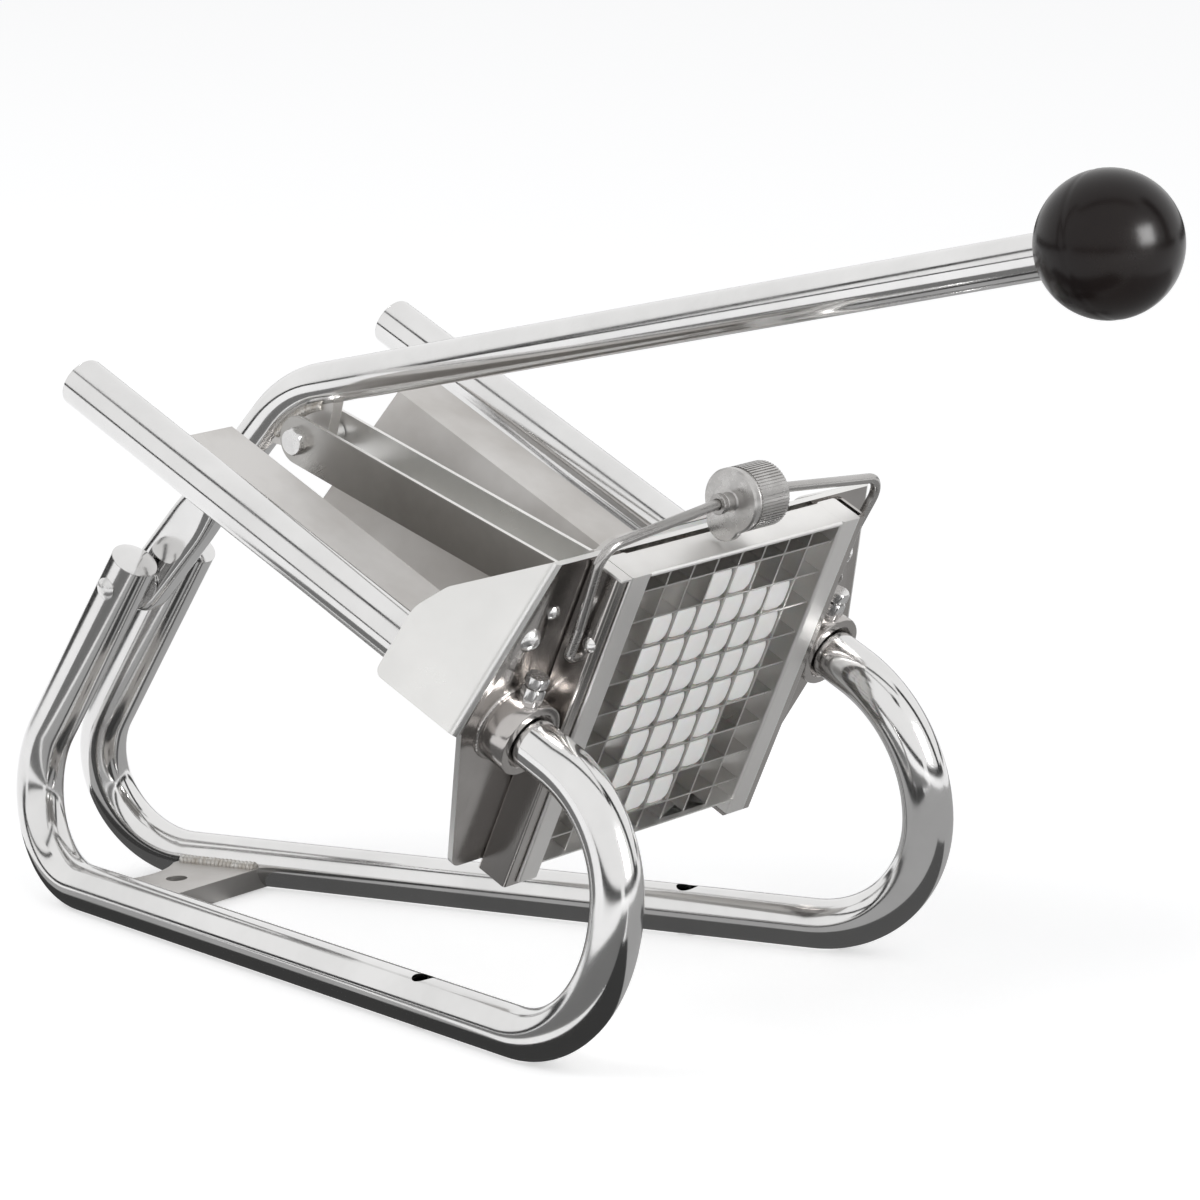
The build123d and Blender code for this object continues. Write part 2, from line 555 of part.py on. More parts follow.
def slotted_blade(length_low, length_high, crossings, slot_low, slot_high):
    """Blade along +Z of its own frame, with half-depth slots at the crossings and end tenons."""
    blade = extrude(Plane.XY.offset(length_low) * blade_section(), length_high - length_low)
    half = BLADE_SHEET / 2
    tongue = block(BLADE_REAR + BLADE_BEVEL, BLADE_FRONT, -half, half,
                   length_low - TENON, length_high + TENON)
    blade += tongue
    slot_half = half + BLADE_FIT / 2
    for at in crossings:
        blade -= block(slot_low, slot_high, -BLADE_SHEET, BLADE_SHEET, at - slot_half, at + slot_half)
    return blade


def cutting_blades():
    """Upright blades, slotted from the front."""
    middle = (BLADE_FRONT + BLADE_REAR) / 2
    low, high = -BOTTOM_BAR_H + BAR_SHEET, BLOCK_TOP - BAR_SHEET
    blade = slotted_blade(low, high, CROSS_BLADES, middle, BLADE_FRONT + 1)
    return Compound(children=[in_guides(Pos(0, y, 0) * blade).solid() for y in CUTTING_BLADES])


def cross_blades():
    """Level blades, slotted from the rear."""
    middle = (BLADE_FRONT + BLADE_REAR) / 2
    inner = BLOCK_HALF - SIDE_BAR_WIDTH
    blade = slotted_blade(-inner, inner, CUTTING_BLADES, BLADE_REAR - 1, middle)
    blade = Rot(90, 0, 0) * blade
    return Compound(children=[in_guides(Pos(0, 0, h) * blade).solid() for h in CROSS_BLADES])


# ---------------------------------------------------------------- bail and clamping knob
def bail_half(name):
    """Centre line of half of the bail, from its pivot end to its upper corner."""
    side = SIDES[name]
    leg = HOLDER_OUT + STOP_STUD_RISE + SIDE_PLAY + WIRE / 2
    return [(BAIL_PIVOT_F, side * (HOLDER_OUT - HOLDER_SHEET - BAIL_END), BAIL_PIVOT_H),
            (BAIL_PIVOT_F, side * leg, BAIL_PIVOT_H),
            (BAIL_PIVOT_F, side * leg, BAIL_KNEE_H),
            (BAIL_PIVOT_F, side * BAIL_CORNER_HALF[name], BAIL_CORNER_H)]


def bail():
    """Spring wire bail, bowed upwards over the block."""
    left, right = bail_half("left"), bail_half("right")
    knob_half = KNOB_WIDTH / 2 + CAM_WIDTH + WIRE_STOP_WIDTH + BAIL_CROWN_FLAT
    crown = [(BAIL_PIVOT_F, side * knob_half, BAIL_CROWN_H) for side in (1, -1)]
    points = left + crown + right[::-1]
    half = [BAIL_EYE_BEND, BAIL_BEND, BAIL_BEND, BAIL_CROWN_BEND]
    path = FilletPolyline(*points, radius=half + half[::-1])
    wire = sweep(Plane(origin=path @ 0, z_dir=path % 0) * Circle(WIRE / 2), path)
    return in_guides(wire)


def clamp_knob():
    """Knurled wheel on the bail's crown."""
    half = KNOB_WIDTH / 2
    wheel = rod((BAIL_PIVOT_F, -half, BAIL_CROWN_H), (BAIL_PIVOT_F, half, BAIL_CROWN_H), KNOB_OD / 2)
    wheel = chamfer(wheel.edges(), KNOB_CHAMFER)
    for i in range(KNOB_RIDGES):
        turn = radians(i * 360 / KNOB_RIDGES)
        groove = (BAIL_PIVOT_F + KNOB_OD / 2 * cos(turn), BAIL_CROWN_H + KNOB_OD / 2 * sin(turn))
        cutter = Box(KNOB_GROOVE, KNOB_WIDTH, KNOB_GROOVE)
        wheel -= Pos(groove[0], 0, groove[1]) * Rot(0, 45 - degrees(turn), 0) * cutter
    bore = WIRE / 2 + WIRE_CLEAR
    wheel -= rod((BAIL_PIVOT_F, -half, BAIL_CROWN_H), (BAIL_PIVOT_F, half, BAIL_CROWN_H), bore)
    return in_guides(wheel)


def clamp_cam():
    """Eccentric on the knob's right face: a hub round the wire and a lobe that bears on the block."""
    near, far = -KNOB_WIDTH / 2 - CAM_WIDTH, -KNOB_WIDTH / 2
    lobe_h = BLOCK_TOP + CAM_GAP + CAM_RADIUS
    lobe = rod((BAIL_PIVOT_F, near, lobe_h), (BAIL_PIVOT_F, far, lobe_h), CAM_RADIUS)
    hub = rod((BAIL_PIVOT_F, near, BAIL_CROWN_H), (BAIL_PIVOT_F, far, BAIL_CROWN_H), CAM_HUB / 2)
    bore = rod((BAIL_PIVOT_F, near, BAIL_CROWN_H), (BAIL_PIVOT_F, far, BAIL_CROWN_H), WIRE / 2 + WIRE_CLEAR)
    return in_guides(lobe + hub - bore)


def wire_stop(side):
    """Small ring fixed on the wire beside the knob."""
    inner = KNOB_WIDTH / 2 + SIDE_PLAY
    if side < 0:
        inner += CAM_WIDTH
    ends = [(BAIL_PIVOT_F, side * (inner + reach), BAIL_CROWN_H) for reach in (0, WIRE_STOP_WIDTH)]
    return in_guides(ring(*ends, WIRE_STOP_OD / 2, WIRE / 2))


# ---------------------------------------------------------------- lever
def lever_tube():
    """Bent tube with a flattened eye at the pivot."""
    y_axis = Vector(0, 1, 0)
    flat_end = PIVOT + LEG_DIR * LEVER_FLAT_LENGTH
    round_start = flat_end + LEG_DIR * LEVER_BLEND
    tip = BALL - ARM_DIR * (BALL_SEAT_FLAT - BALL_SOCKET)
    path = FilletPolyline(round_start, ELBOW, tip, radius=LEVER_RADIUS)
    section = Circle(LEVER_OD / 2) - Circle(LEVER_OD / 2 - LEVER_WALL)
    tube = sweep(Plane(origin=round_start, z_dir=LEG_DIR) * section, path)
    flat = Plane(origin=flat_end, x_dir=y_axis, z_dir=LEG_DIR) * Ellipse(LEVER_FLAT / 2, LEVER_EYE / 2)
    round_face = Plane(origin=round_start, x_dir=y_axis, z_dir=LEG_DIR) * Circle(LEVER_OD / 2)
    tube += loft([flat.face(), round_face.face()])
    tube += extrude(flat, -LEVER_FLAT_LENGTH - LEVER_TAIL)
    half = Vector(0, LEVER_FLAT / 2, 0)
    tail = PIVOT - LEG_DIR * LEVER_TAIL
    tube += rod(tail - half, tail + half, LEVER_EYE / 2)
    tube -= rod(PIVOT - half, PIVOT + half, PIVOT_PIN / 2 + SLIDE_CLEAR)
    return tube


def lever_lug():
    """Plate welded in the lever's bend, which carries the link's pivot bush."""
    bush = Pos(LINK_PIN.X, LINK_PIN.Z) * Circle(LUG_BUSH_OD / 2 + 1)
    roots = [ELBOW - LEG_DIR * LUG_SPAN, ELBOW + ARM_DIR * LUG_SPAN]
    feet = [Pos(p.X, p.Z) * Circle(LUG_SHEET / 2) for p in roots]
    outline = make_hull((bush + feet[0] + feet[1]).edges())
    lug = extrude(Plane(origin=(0, LUG_SHEET / 2, 0), x_dir=(1, 0, 0), z_dir=(0, -1, 0)) * outline, LUG_SHEET)
    lug -= lever_envelope()
    half = Vector(0, LUG_SHEET / 2, 0)
    lug -= rod(LINK_PIN - half, LINK_PIN + half, LUG_BUSH_OD / 2)
    nearest = min(lug.solids(), key=lambda s: (s.center() - LINK_PIN).length)
    return nearest


def lever_envelope():
    """Outside of the lever's round stretch, to cope the lug."""
    start = PIVOT + LEG_DIR * (LEVER_FLAT_LENGTH + LEVER_BLEND)
    path = FilletPolyline(start, ELBOW, BALL, radius=LEVER_RADIUS)
    return sweep(Plane(origin=start, z_dir=LEG_DIR) * Circle(LEVER_OD / 2), path)


def lug_bush():
    """Bush through the lug, between the link's walls."""
    half = Vector(0, LINK_OUT - LINK_SHEET - SIDE_PLAY, 0)
    return ring(LINK_PIN - half, LINK_PIN + half, LUG_BUSH_OD / 2, LINK_BOLT / 2 + SLIDE_CLEAR)


def ball_knob():
    """Ball handle with a flat seat, a socket for the tube and a threaded hole."""
    ball = Pos(*BALL) * Sphere(BALL_OD / 2)
    seat = BALL - ARM_DIR * BALL_SEAT_FLAT
    ball -= rod(seat - ARM_DIR * BALL_OD, seat, BALL_OD)
    ball -= rod(seat, seat + ARM_DIR * BALL_SOCKET, LEVER_OD / 2)
    return ball - rod(seat, BALL + ARM_DIR * INSERT_OD / 2, INSERT_OD / 2)


def ball_insert():
    """Threaded stud that joins the ball to a plug in the lever tube."""
    seat = BALL - ARM_DIR * BALL_SEAT_FLAT
    shoulder = seat + ARM_DIR * BALL_SOCKET
    plug = rod(seat - ARM_DIR * BALL_SOCKET, shoulder, LEVER_OD / 2 - LEVER_WALL)
    return plug + rod(shoulder, BALL + ARM_DIR * INSERT_OD / 2, INSERT_OD / 2)


def pivot_pin():
    """Pin through both uprights, with low domed ends."""
    reach = Vector(0, UPRIGHT_HALF + TUBE_R, 0)
    pin = rod(PIVOT - reach, PIVOT + reach, PIVOT_PIN / 2)
    for side in SIDES.values():
        pin += dome(PIVOT + reach * side, (0, side, 0), PIVOT_PIN / 2, PIN_CROWN)
    return pin


def pivot_washer(side):
    """Thin washer between the lever's eye and an upright."""
    inner = LEVER_FLAT / 2 + (UPRIGHT_HALF - TUBE_R - LEVER_FLAT / 2 - PIVOT_WASHER) / 2
    start = PIVOT + Vector(0, side * inner, 0)
    return ring(start, start + Vector(0, side * PIVOT_WASHER, 0), PIVOT_WASHER_OD / 2, PIVOT_PIN / 2)


# ---------------------------------------------------------------- link
def link_channel():
    """Channel link, open upwards, with round ends and a web that stops short of both pivots."""
    half = LINK_HEIGHT / 2
    outline = Pos(LINK_LENGTH / 2, 0) * SlotOverall(LINK_LENGTH + LINK_HEIGHT, LINK_HEIGHT)
    side_plane = Plane(origin=(0, LINK_OUT, 0), x_dir=(1, 0, 0), z_dir=(0, -1, 0))
    link = extrude(side_plane * outline, LINK_OUT * 2)
    inside = LINK_OUT - LINK_SHEET
    link -= block(-LINK_HEIGHT, LINK_LENGTH + LINK_HEIGHT, -inside, inside, -half + LINK_SHEET, LINK_HEIGHT)
    web_end = LINK_LENGTH - LINK_WEB_START
    for low, high in ((-LINK_HEIGHT, LINK_WEB_START), (web_end, LINK_LENGTH + LINK_HEIGHT)):
        link -= block(low, high, -inside, inside, -LINK_HEIGHT, LINK_HEIGHT)
    link -= rod((0, -LINK_OUT, 0), (0, LINK_OUT, 0), LINK_BOLT / 2)
    link -= rod((LINK_LENGTH, -LINK_OUT, 0), (LINK_LENGTH, LINK_OUT, 0), YOKE_PIN / 2)
    return LINK_FRAME * link


def link_bolt():
    """Hexagon bolt through the link's rear end."""
    bolt = rod((0, -LINK_OUT, 0), (0, LINK_OUT + HEX_NUT + 1, 0), LINK_BOLT / 2)
    return LINK_FRAME * (bolt + hexagon((0, -LINK_OUT - HEX_HEAD, 0), (0, -LINK_OUT, 0), HEX_FLATS))


def link_nut():
    return LINK_FRAME * hexagon((0, LINK_OUT, 0), (0, LINK_OUT + HEX_NUT, 0), HEX_FLATS, LINK_BOLT / 2)


def yoke_pin():
    """Headed pin through the link's front end and the carriage's slots."""
    seat = LINK_OUT + SIDE_PLAY + CHEEK_SHEET + SIDE_PLAY
    pin = rod((LINK_LENGTH, -seat, 0), (LINK_LENGTH, seat + YOKE_PIN_HEAD_WIDTH, 0), YOKE_PIN / 2)
    head = rod((LINK_LENGTH, -seat - YOKE_PIN_HEAD_WIDTH, 0), (LINK_LENGTH, -seat, 0), YOKE_PIN_HEAD / 2)
    return LINK_FRAME * (pin + head)


def yoke_clip():
    """Retaining ring on the pin's plain end."""
    seat = LINK_OUT + SIDE_PLAY + CHEEK_SHEET + SIDE_PLAY
    return LINK_FRAME * ring((LINK_LENGTH, seat, 0), (LINK_LENGTH, seat + CLIP_WIDTH, 0),
                             YOKE_PIN_HEAD / 2, YOKE_PIN / 2)


# ---------------------------------------------------------------- carriage and pusher
def tray_half_width(h, gap=0.0):
    """Inside half width of the tray at height h, less a gap."""
    slope = radians(TRAY_WALL_SLOPE)
    return TRAY_HALF + h * tan(slope) - gap / cos(slope)


def pusher_outline():
    """Outline of the pusher in y, h: straight above the flanges, following the tray below."""
    foot = -TRAY_DEPTH + TRAY_SHEET + TRAY_CLEAR
    low_half = tray_half_width(foot, TRAY_CLEAR)
    half = min(BODY_HALF, tray_half_width(0, TRAY_CLEAR))
    return [(-low_half, foot), (low_half, foot), (half, 0), (half, BODY_TOP), (-half, BODY_TOP), (-half, 0)]


def stud_places():
    """Centres of the studs, row by row from the top."""
    places = []
    for row, count in enumerate(STUD_ROWS):
        h = CROSS_BLADES[-1 - row] - CELL / 2
        places += [((i - (count - 1) / 2) * CELL, h) for i in range(count)]
    return places


def pusher_block():
    """Moulded pusher: a body shaped to the tray with a square stud for each cell of the grid."""
    outline = pusher_outline()
    rounded = {outline[0]: TRAY_BEND - TRAY_CLEAR, outline[1]: TRAY_BEND - TRAY_CLEAR,
               outline[3]: TRAY_BEND, outline[4]: TRAY_BEND}
    body = plate_shape(outline, rounded, BODY_REAR, BODY_FRONT)
    trim = plate_shape(outline, rounded, BODY_FRONT, STUD_TIP)
    half = STUD_SIDE / 2
    for y, h in stud_places():
        stud = block(BODY_FRONT, STUD_TIP, y - half, y + half, h - half, h + half)
        tip = stud.edges().group_by(Axis.X)[-1]
        body += common(chamfer(tip, STUD_CHAMFER), trim)
    for y, h in screw_places():
        body -= rod((BODY_REAR, y, h), (BODY_FRONT - BODY_SCREW_END, y, h), BODY_SCREW / 2)
    return in_guides(body)


def screw_places():
    """Places of the screws that hold the pusher to its back plate."""
    return [(side * CELL * 2, h) for side in SIDES.values() for h in (ARM_HIGH + CELL, -CELL)]


def back_plate():
    """Back plate with an arm to each slide housing, and two cheeks for the yoke pin."""
    outline = pusher_outline()
    rounded = {outline[0]: TRAY_BEND - TRAY_CLEAR, outline[1]: TRAY_BEND - TRAY_CLEAR,
               outline[3]: TRAY_BEND, outline[4]: TRAY_BEND}
    plate = plate_shape(outline, rounded, BACK_REAR, BODY_REAR)
    plate += block(BACK_REAR, BODY_REAR, -GUIDE_HALF, GUIDE_HALF, ARM_LOW, ARM_HIGH)
    cheek_in = LINK_OUT + SIDE_PLAY
    for side in SIDES.values():
        y = side * GUIDE_HALF
        plate -= rod((BACK_REAR, y, 0), (BODY_REAR, y, 0), HOUSING_OD / 2)
        plate += cheek(side, cheek_in)
    for y, h in screw_places():
        plate -= rod((BACK_REAR, y, h), (BODY_REAR, y, h), BODY_SCREW / 2)
    largest = max(plate.solids(), key=lambda s: s.volume)
    return in_guides(largest)


def cheek(side, inside):
    """Cheek of the yoke, with a slot that lets the pin rise and sink as the lever swings."""
    low_y, high_y = sorted((side * inside, side * (inside + CHEEK_SHEET)))
    rear = YOKE_F - SLOT_BEHIND - CHEEK_MARGIN
    reach = SLOT_HALF + CHEEK_MARGIN
    body = block(rear, BACK_REAR, low_y, high_y, YOKE_H - reach, YOKE_H + reach)
    body = fillet(body.edges().filter_by(Axis.Y).group_by(Axis.X)[0], YOKE_PIN)
    slot = block(YOKE_F - SLOT_BEHIND, YOKE_F + SLOT_AHEAD, low_y, high_y,
                 YOKE_H - SLOT_HALF, YOKE_H + SLOT_HALF)
    slot = fillet(slot.edges().filter_by(Axis.Y), YOKE_PIN / 2 - SIDE_PLAY)
    return body - slot


def pusher_screw_set():
    """Pan head screws through the back plate into the pusher."""
    screws = []
    for y, h in screw_places():
        shank = rod((BACK_REAR, y, h), (BODY_FRONT - BODY_SCREW_END, y, h), BODY_SCREW / 2)
        head = rod((BACK_REAR - BODY_SCREW_HEAD_HEIGHT, y, h), (BACK_REAR, y, h), BODY_SCREW_HEAD / 2)
        screws.append(in_guides(shank + head).solid())
    return Compound(children=screws)


def housing_ends():
    """Rear and front ends of the slide housings at rest, just behind the tray's tabs."""
    front = -PLATE_SHEET - TRAY_SHEET - HOUSING_CLEAR - BUSH_FLANGE
    return front - HOUSING_LENGTH, front


def slide_housing(side):
    """Tube round one guide, which holds its two bushes."""
    rear, front = housing_ends()
    y = side * GUIDE_HALF
    return in_guides(ring((rear, y, 0), (front, y, 0), HOUSING_OD / 2, BUSH_OD / 2))


def slide_bushes(side):
    """Two flanged bushes, one in each end of a housing."""
    rear, front = housing_ends()
    y = side * GUIDE_HALF
    bore = TUBE_R + SLIDE_CLEAR
    bushes = []
    for seat, inward in ((front, -1), (rear, 1)):
        sleeve = ring((seat, y, 0), (seat + inward * BUSH_LENGTH, y, 0), BUSH_OD / 2, bore)
        flange = ring((seat, y, 0), (seat - inward * BUSH_FLANGE, y, 0), HOUSING_OD / 2, bore)
        bushes.append(in_guides(sleeve + flange).solid())
    return Compound(children=bushes)


# ---------------------------------------------------------------- feed tray
def feed_tray():
    """Folded trough with flat flanges and a tab each side, screwed to the back of the front plate."""
    foot_half = tray_half_width(-TRAY_DEPTH)
    inner = Polygon((-TRAY_HALF, 0), (-foot_half, -TRAY_DEPTH), (foot_half, -TRAY_DEPTH), (TRAY_HALF, 0),
                    align=None)
    inner = fillet(inner.vertices().group_by(Axis.Y)[0], TRAY_BEND)
    outer = offset(inner, TRAY_SHEET)
    upper = Pos(0, TRAY_HALF) * Rectangle(TRAY_HALF * 4, TRAY_HALF * 2)
    section = outer - inner - upper
    for side in SIDES.values():
        middle = side * (TRAY_HALF + TRAY_FLANGE) / 2
        section += Pos(middle, -TRAY_SHEET / 2) * Rectangle(TRAY_FLANGE - TRAY_HALF, TRAY_SHEET)
    start = Plane(origin=(-TRAY_REAR, 0, 0), x_dir=(0, 1, 0), z_dir=(1, 0, 0))
    tray = extrude(start * section, TRAY_REAR - PLATE_SHEET)
    for side in SIDES.values():
        tray += tray_tab(side)
    return in_guides(tray)


def tray_tab(side):
    """Tab against the plate's back face, with a strip that joins it to the tray's flange."""
    rear = -PLATE_SHEET - TRAY_SHEET
    root, tip_y, tip_h = TRAY_FLANGE - TAB_MARGIN * 2, PLATE_STUD_Y + TAB_MARGIN, PLATE_STUD_H + TAB_MARGIN
    points = [(root, -TRAY_SHEET), (TRAY_FLANGE, -TRAY_SHEET), (tip_y, PLATE_STUD_H - TAB_MARGIN),
              (tip_y, tip_h), (root, tip_h)]
    outline = [(side * y, h) for y, h in points]
    tab = plate_shape(outline, {}, rear, -PLATE_SHEET)
    y, h = side * PLATE_STUD_Y, PLATE_STUD_H
    tab -= rod((rear, y, h), (-PLATE_SHEET, y, h), PLATE_STUD / 2)
    return tab - rod((rear, side * GUIDE_HALF, 0), (-PLATE_SHEET, side * GUIDE_HALF, 0), TUBE_R + TRAY_CLEAR)


# ---------------------------------------------------------------- nodes
NODES = {
    "frame_tube_left": frame_tube(1),
    "frame_tube_right": frame_tube(-1),
    "guide_end_plugs": mirrored(guide_plug),
    "upright_end_plugs": mirrored(upright_plug),
    "rear_cross_plate": cross_plate(),
    "front_plate": front_plate(),
    "collar_left": collar(1),
    "collar_right": collar(-1),
    "collar_weld_nuts": mirrored(set_nut),
    "collar_set_bolts": mirrored(set_bolt),
    "plate_screws": mirrored(plate_screw),
    "plate_nuts": mirrored(plate_nut),
    "plate_rivets": mirrored(plate_rivet),
    "block_holder_left": block_holder(1),
    "block_holder_right": block_holder(-1),
    "holder_studs": mirrored(stop_stud),
    "feed_tray": feed_tray(),
    "block_side_bar_left": side_bar(1),
    "block_side_bar_right": side_bar(-1),
    "block_top_bar": end_bar(BLOCK_TOP - BAR_SHEET, False),
    "block_bottom_bar": end_bar(-BOTTOM_BAR_H, True),
    "cutting_blades": cutting_blades(),
    "cross_blades": cross_blades(),
    "bail_wire": bail(),
    "bail_wire_stops": mirrored(wire_stop),
    "clamp_knob": clamp_knob(),
    "clamp_cam": clamp_cam(),
    "lever_pivot_pin": pivot_pin(),
    "lever_pivot_washers": mirrored(pivot_washer),
    "lever_tube": lever_tube(),
    "lever_lug": lever_lug(),
    "lever_lug_bush": lug_bush(),
    "ball_knob": ball_knob(),
    "ball_knob_stud": ball_insert(),
    "link_channel": link_channel(),
    "link_bolt": link_bolt(),
    "link_nut": link_nut(),
    "yoke_pin": yoke_pin(),
    "yoke_pin_clip": yoke_clip(),
    "carriage_plate": back_plate(),
    "slide_housing_left": slide_housing(1),
    "slide_housing_right": slide_housing(-1),
    "slide_bushes_left": slide_bushes(1),
    "slide_bushes_right": slide_bushes(-1),
    "pusher_block": pusher_block(),
    "pusher_screws": pusher_screw_set(),
}

os.makedirs("parts", exist_ok=True)
for node, shape in NODES.items():
    export_step(shape, f"parts/{node}.step")
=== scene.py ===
"""Dresses the french fry cutter: tubes, sheet, blades, fittings, finishes and the studio."""
import logging
import math
from contextlib import contextmanager
from dataclasses import dataclass
from enum import Enum
from typing import Callable, Iterator, Optional, Sequence, Union

import bmesh
import bpy
from mathutils import Matrix, Quaternion, Vector


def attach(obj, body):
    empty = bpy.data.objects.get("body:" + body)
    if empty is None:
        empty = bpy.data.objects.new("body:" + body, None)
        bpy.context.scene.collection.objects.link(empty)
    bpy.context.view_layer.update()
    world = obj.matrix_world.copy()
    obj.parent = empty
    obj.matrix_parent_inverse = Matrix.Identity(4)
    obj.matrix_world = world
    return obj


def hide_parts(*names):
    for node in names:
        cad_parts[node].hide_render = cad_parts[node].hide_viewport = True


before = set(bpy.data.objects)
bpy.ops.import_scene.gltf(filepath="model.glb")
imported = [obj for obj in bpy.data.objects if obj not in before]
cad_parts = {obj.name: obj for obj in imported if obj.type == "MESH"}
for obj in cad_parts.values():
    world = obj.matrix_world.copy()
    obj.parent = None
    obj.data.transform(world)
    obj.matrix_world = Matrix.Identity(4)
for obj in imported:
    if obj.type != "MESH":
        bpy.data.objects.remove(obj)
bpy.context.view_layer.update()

log = logging.getLogger("fry_cutter")
Object, Mesh, Node, Socket = bpy.types.Object, bpy.types.Mesh, bpy.types.Node, bpy.types.NodeSocket
Pair, Triple = tuple[float, float], tuple[float, float, float]
Shell = tuple[list[Vector], list[tuple[int, ...]]]
Value = Union[float, int, bool, str, tuple, bpy.types.ID, Node, Socket]

MM = 0.001
SIDES = {"left": 1, "right": -1}
LEFT, UP = Vector((0, 1, 0)), Vector((0, 0, 1))
GUIDE_HALF = 89.0  # from the middle to a guide tube's axis, in millimetres
SAME_POINT, SAME_CAD_POINT = 1e-7, 2e-6  # nearer points are one, in metres
FLAT_ANGLE = 0.4  # CAD faces that differ by less are one face, in degrees
BEVEL_ANGLE, BEVEL_FACES = 35.0, 2
TUBE_CREASE, BEAD_CREASE = 30.0, 70.0  # edges sharper than this stay sharp, in degrees
DOME_STEPS = 7
BEAD_PITCH, BEAD_SIDES = 2.0, 14
GRAIN_SHARE = 0.6  # how much of a finish's haze its grain adds
SCATTER_DEPTH = 0.002  # how deep light goes into plastic, in metres


class Body(Enum):
    """The bodies that pieces ride on."""

    FRAME = "frame"
    BAIL = "bail"
    KNOB = "knob"
    LEVER = "lever"
    LINK = "link"
    CARRIAGE = "carriage"


class Slot(Enum):
    """The record's material slots, one named in each coat."""

    TUBE = "polished_tube"
    SATIN = "satin_steel"
    SHEET = "polished_sheet"
    FASTENER = "bright_fastener"
    WIRE = "wire_steel"
    KNOB = "knob_steel"
    BALL = "black_plastic"
    PUSHER = "white_plastic"
    BUSH = "bush_plastic"


# --- places
@dataclass(frozen=True)
class Local:
    """A frame that leans in the middle plane: forward falls by its tilt, across is to the left."""

    origin: Triple
    tilt: float

    @property
    def forward(self) -> Vector:
        """Unit vector forward."""
        return Vector((math.cos(math.radians(self.tilt)), 0, -math.sin(math.radians(self.tilt))))

    @property
    def up(self) -> Vector:
        """Unit vector up, square to forward."""
        return Vector((math.sin(math.radians(self.tilt)), 0, math.cos(math.radians(self.tilt))))

    def at(self, ahead: float, across: float, high: float) -> Vector:
        """A point of this frame in metres, from distances in millimetres."""
        return (Vector(self.origin) + self.forward * ahead + LEFT * across + self.up * high) * MM

    def both(self, ahead: float, across: float, high: float) -> list[Vector]:
        """A point on the left and its mirror image on the right."""
        return [self.at(ahead, side * across, high) for side in SIDES.values()]


GUIDE = Local((57.7576, 0, 128.6474), 27.0)
UPRIGHT = Local((-313.5, 0, 10), -54.0)
LEG = Local((-219.689, 0, 139.119), -44.5)
ARM = Local((-131.96, 0, 225.33), -11.35)
LINK = Local((-118.428, 0, 207.164), 19.056)


def bent_path(corners: Sequence[Vector], radii: Sequence[float], step: float = 3.0) -> list[Vector]:
    """Runs between corners with a round bend at each inner corner.

    Args:
        corners: Corner points in metres.
        radii: Bend radius of each inner corner, in millimetres.
        step: Turn between two points of a bend, in degrees.

    Returns:
        Points along the path, in metres.
    """
    path = [corners[0]]
    for before, corner, after, radius in zip(corners, corners[1:], corners[2:], radii):
        back, on = (before - corner).normalized(), (after - corner).normalized()
        half = back.angle(on) / 2
        centre = corner + (back + on).normalized() * radius * MM / math.sin(half)
        start = corner + back * radius * MM / math.tan(half) - centre
        end = corner + on * radius * MM / math.tan(half) - centre
        turn = math.pi - 2 * half
        count = max(2, math.ceil(math.degrees(turn) / step))
        axis = start.cross(end).normalized()
        path += [centre + Matrix.Rotation(turn * i / count, 3, axis) @ start
                 for i in range(count + 1)]
    return path + [corners[-1]]


# --- skins
def bridged(rings: Sequence[Sequence[Vector]], closed: bool = False) -> Shell:
    """Joins rings of points into one skin. A ring of one point is a pole.

    Args:
        rings: Rings in order; all but the poles have the same number of points.
        closed: Whether the last ring joins the first.

    Returns:
        The skin. An open end that isn't a pole is closed flat.
    """
    points: list[Vector] = []
    starts: list[int] = []
    for ring in rings:
        starts.append(len(points))
        points += ring
    faces: list[tuple[int, ...]] = []
    last = len(rings) - 1
    for low, high in [(i, i + 1) for i in range(last)] + ([(last, 0)] if closed else []):
        a, b, count = starts[low], starts[high], max(len(rings[low]), len(rings[high]))
        for k in range(count):
            n = (k + 1) % count
            if len(rings[low]) == 1:
                faces.append((a, b + n, b + k))
            elif len(rings[high]) == 1:
                faces.append((a + k, a + n, b))
            else:
                faces.append((a + k, a + n, b + n, b + k))
    if not closed:
        faces += [tuple(range(starts[i], starts[i] + len(rings[i])))
                  for i in (0, -1) if len(rings[i]) > 1]
    return points, faces


def together(*shells: Shell) -> Shell:
    """Several skins as one.

    Args:
        shells: The skins.

    Returns:
        The joined skin.
    """
    points: list[Vector] = []
    faces: list[tuple[int, ...]] = []
    for more, loops in shells:
        faces += [tuple(i + len(points) for i in loop) for loop in loops]
        points += more
    return points, faces


def turned(base: Vector, axis: Vector, profile: Sequence[tuple], sides: int = 48,
           closed: bool = False) -> Shell:
    """A piece turned about an axis.

    Args:
        base: Start of the axis, in metres.
        axis: Direction of the axis.
        profile: Radius, distance along the axis and, for a hexagon, width across its flats.
        sides: Points round the axis.
        closed: Whether the profile is a closed loop, as of a ring.

    Returns:
        The skin.
    """
    along = axis.normalized()
    side = (LEFT if abs(along.y) < 0.9 else UP).cross(along).normalized()
    other = along.cross(side)
    rings = []
    for radius, reach, *flats in profile:
        centre = base + along * reach * MM
        if radius <= 0:
            rings.append([centre])
            continue
        ring = []
        for k in range(sides):
            turn = math.tau * k / sides
            size = radius
            if flats:
                corner = (turn + math.pi / 6) % (math.pi / 3) - math.pi / 6
                size = min(size, flats[0] / 2 / math.cos(corner))
            ring.append(centre + (side * math.cos(turn) + other * math.sin(turn)) * size * MM)
        rings.append(ring)
    return bridged(rings, closed)


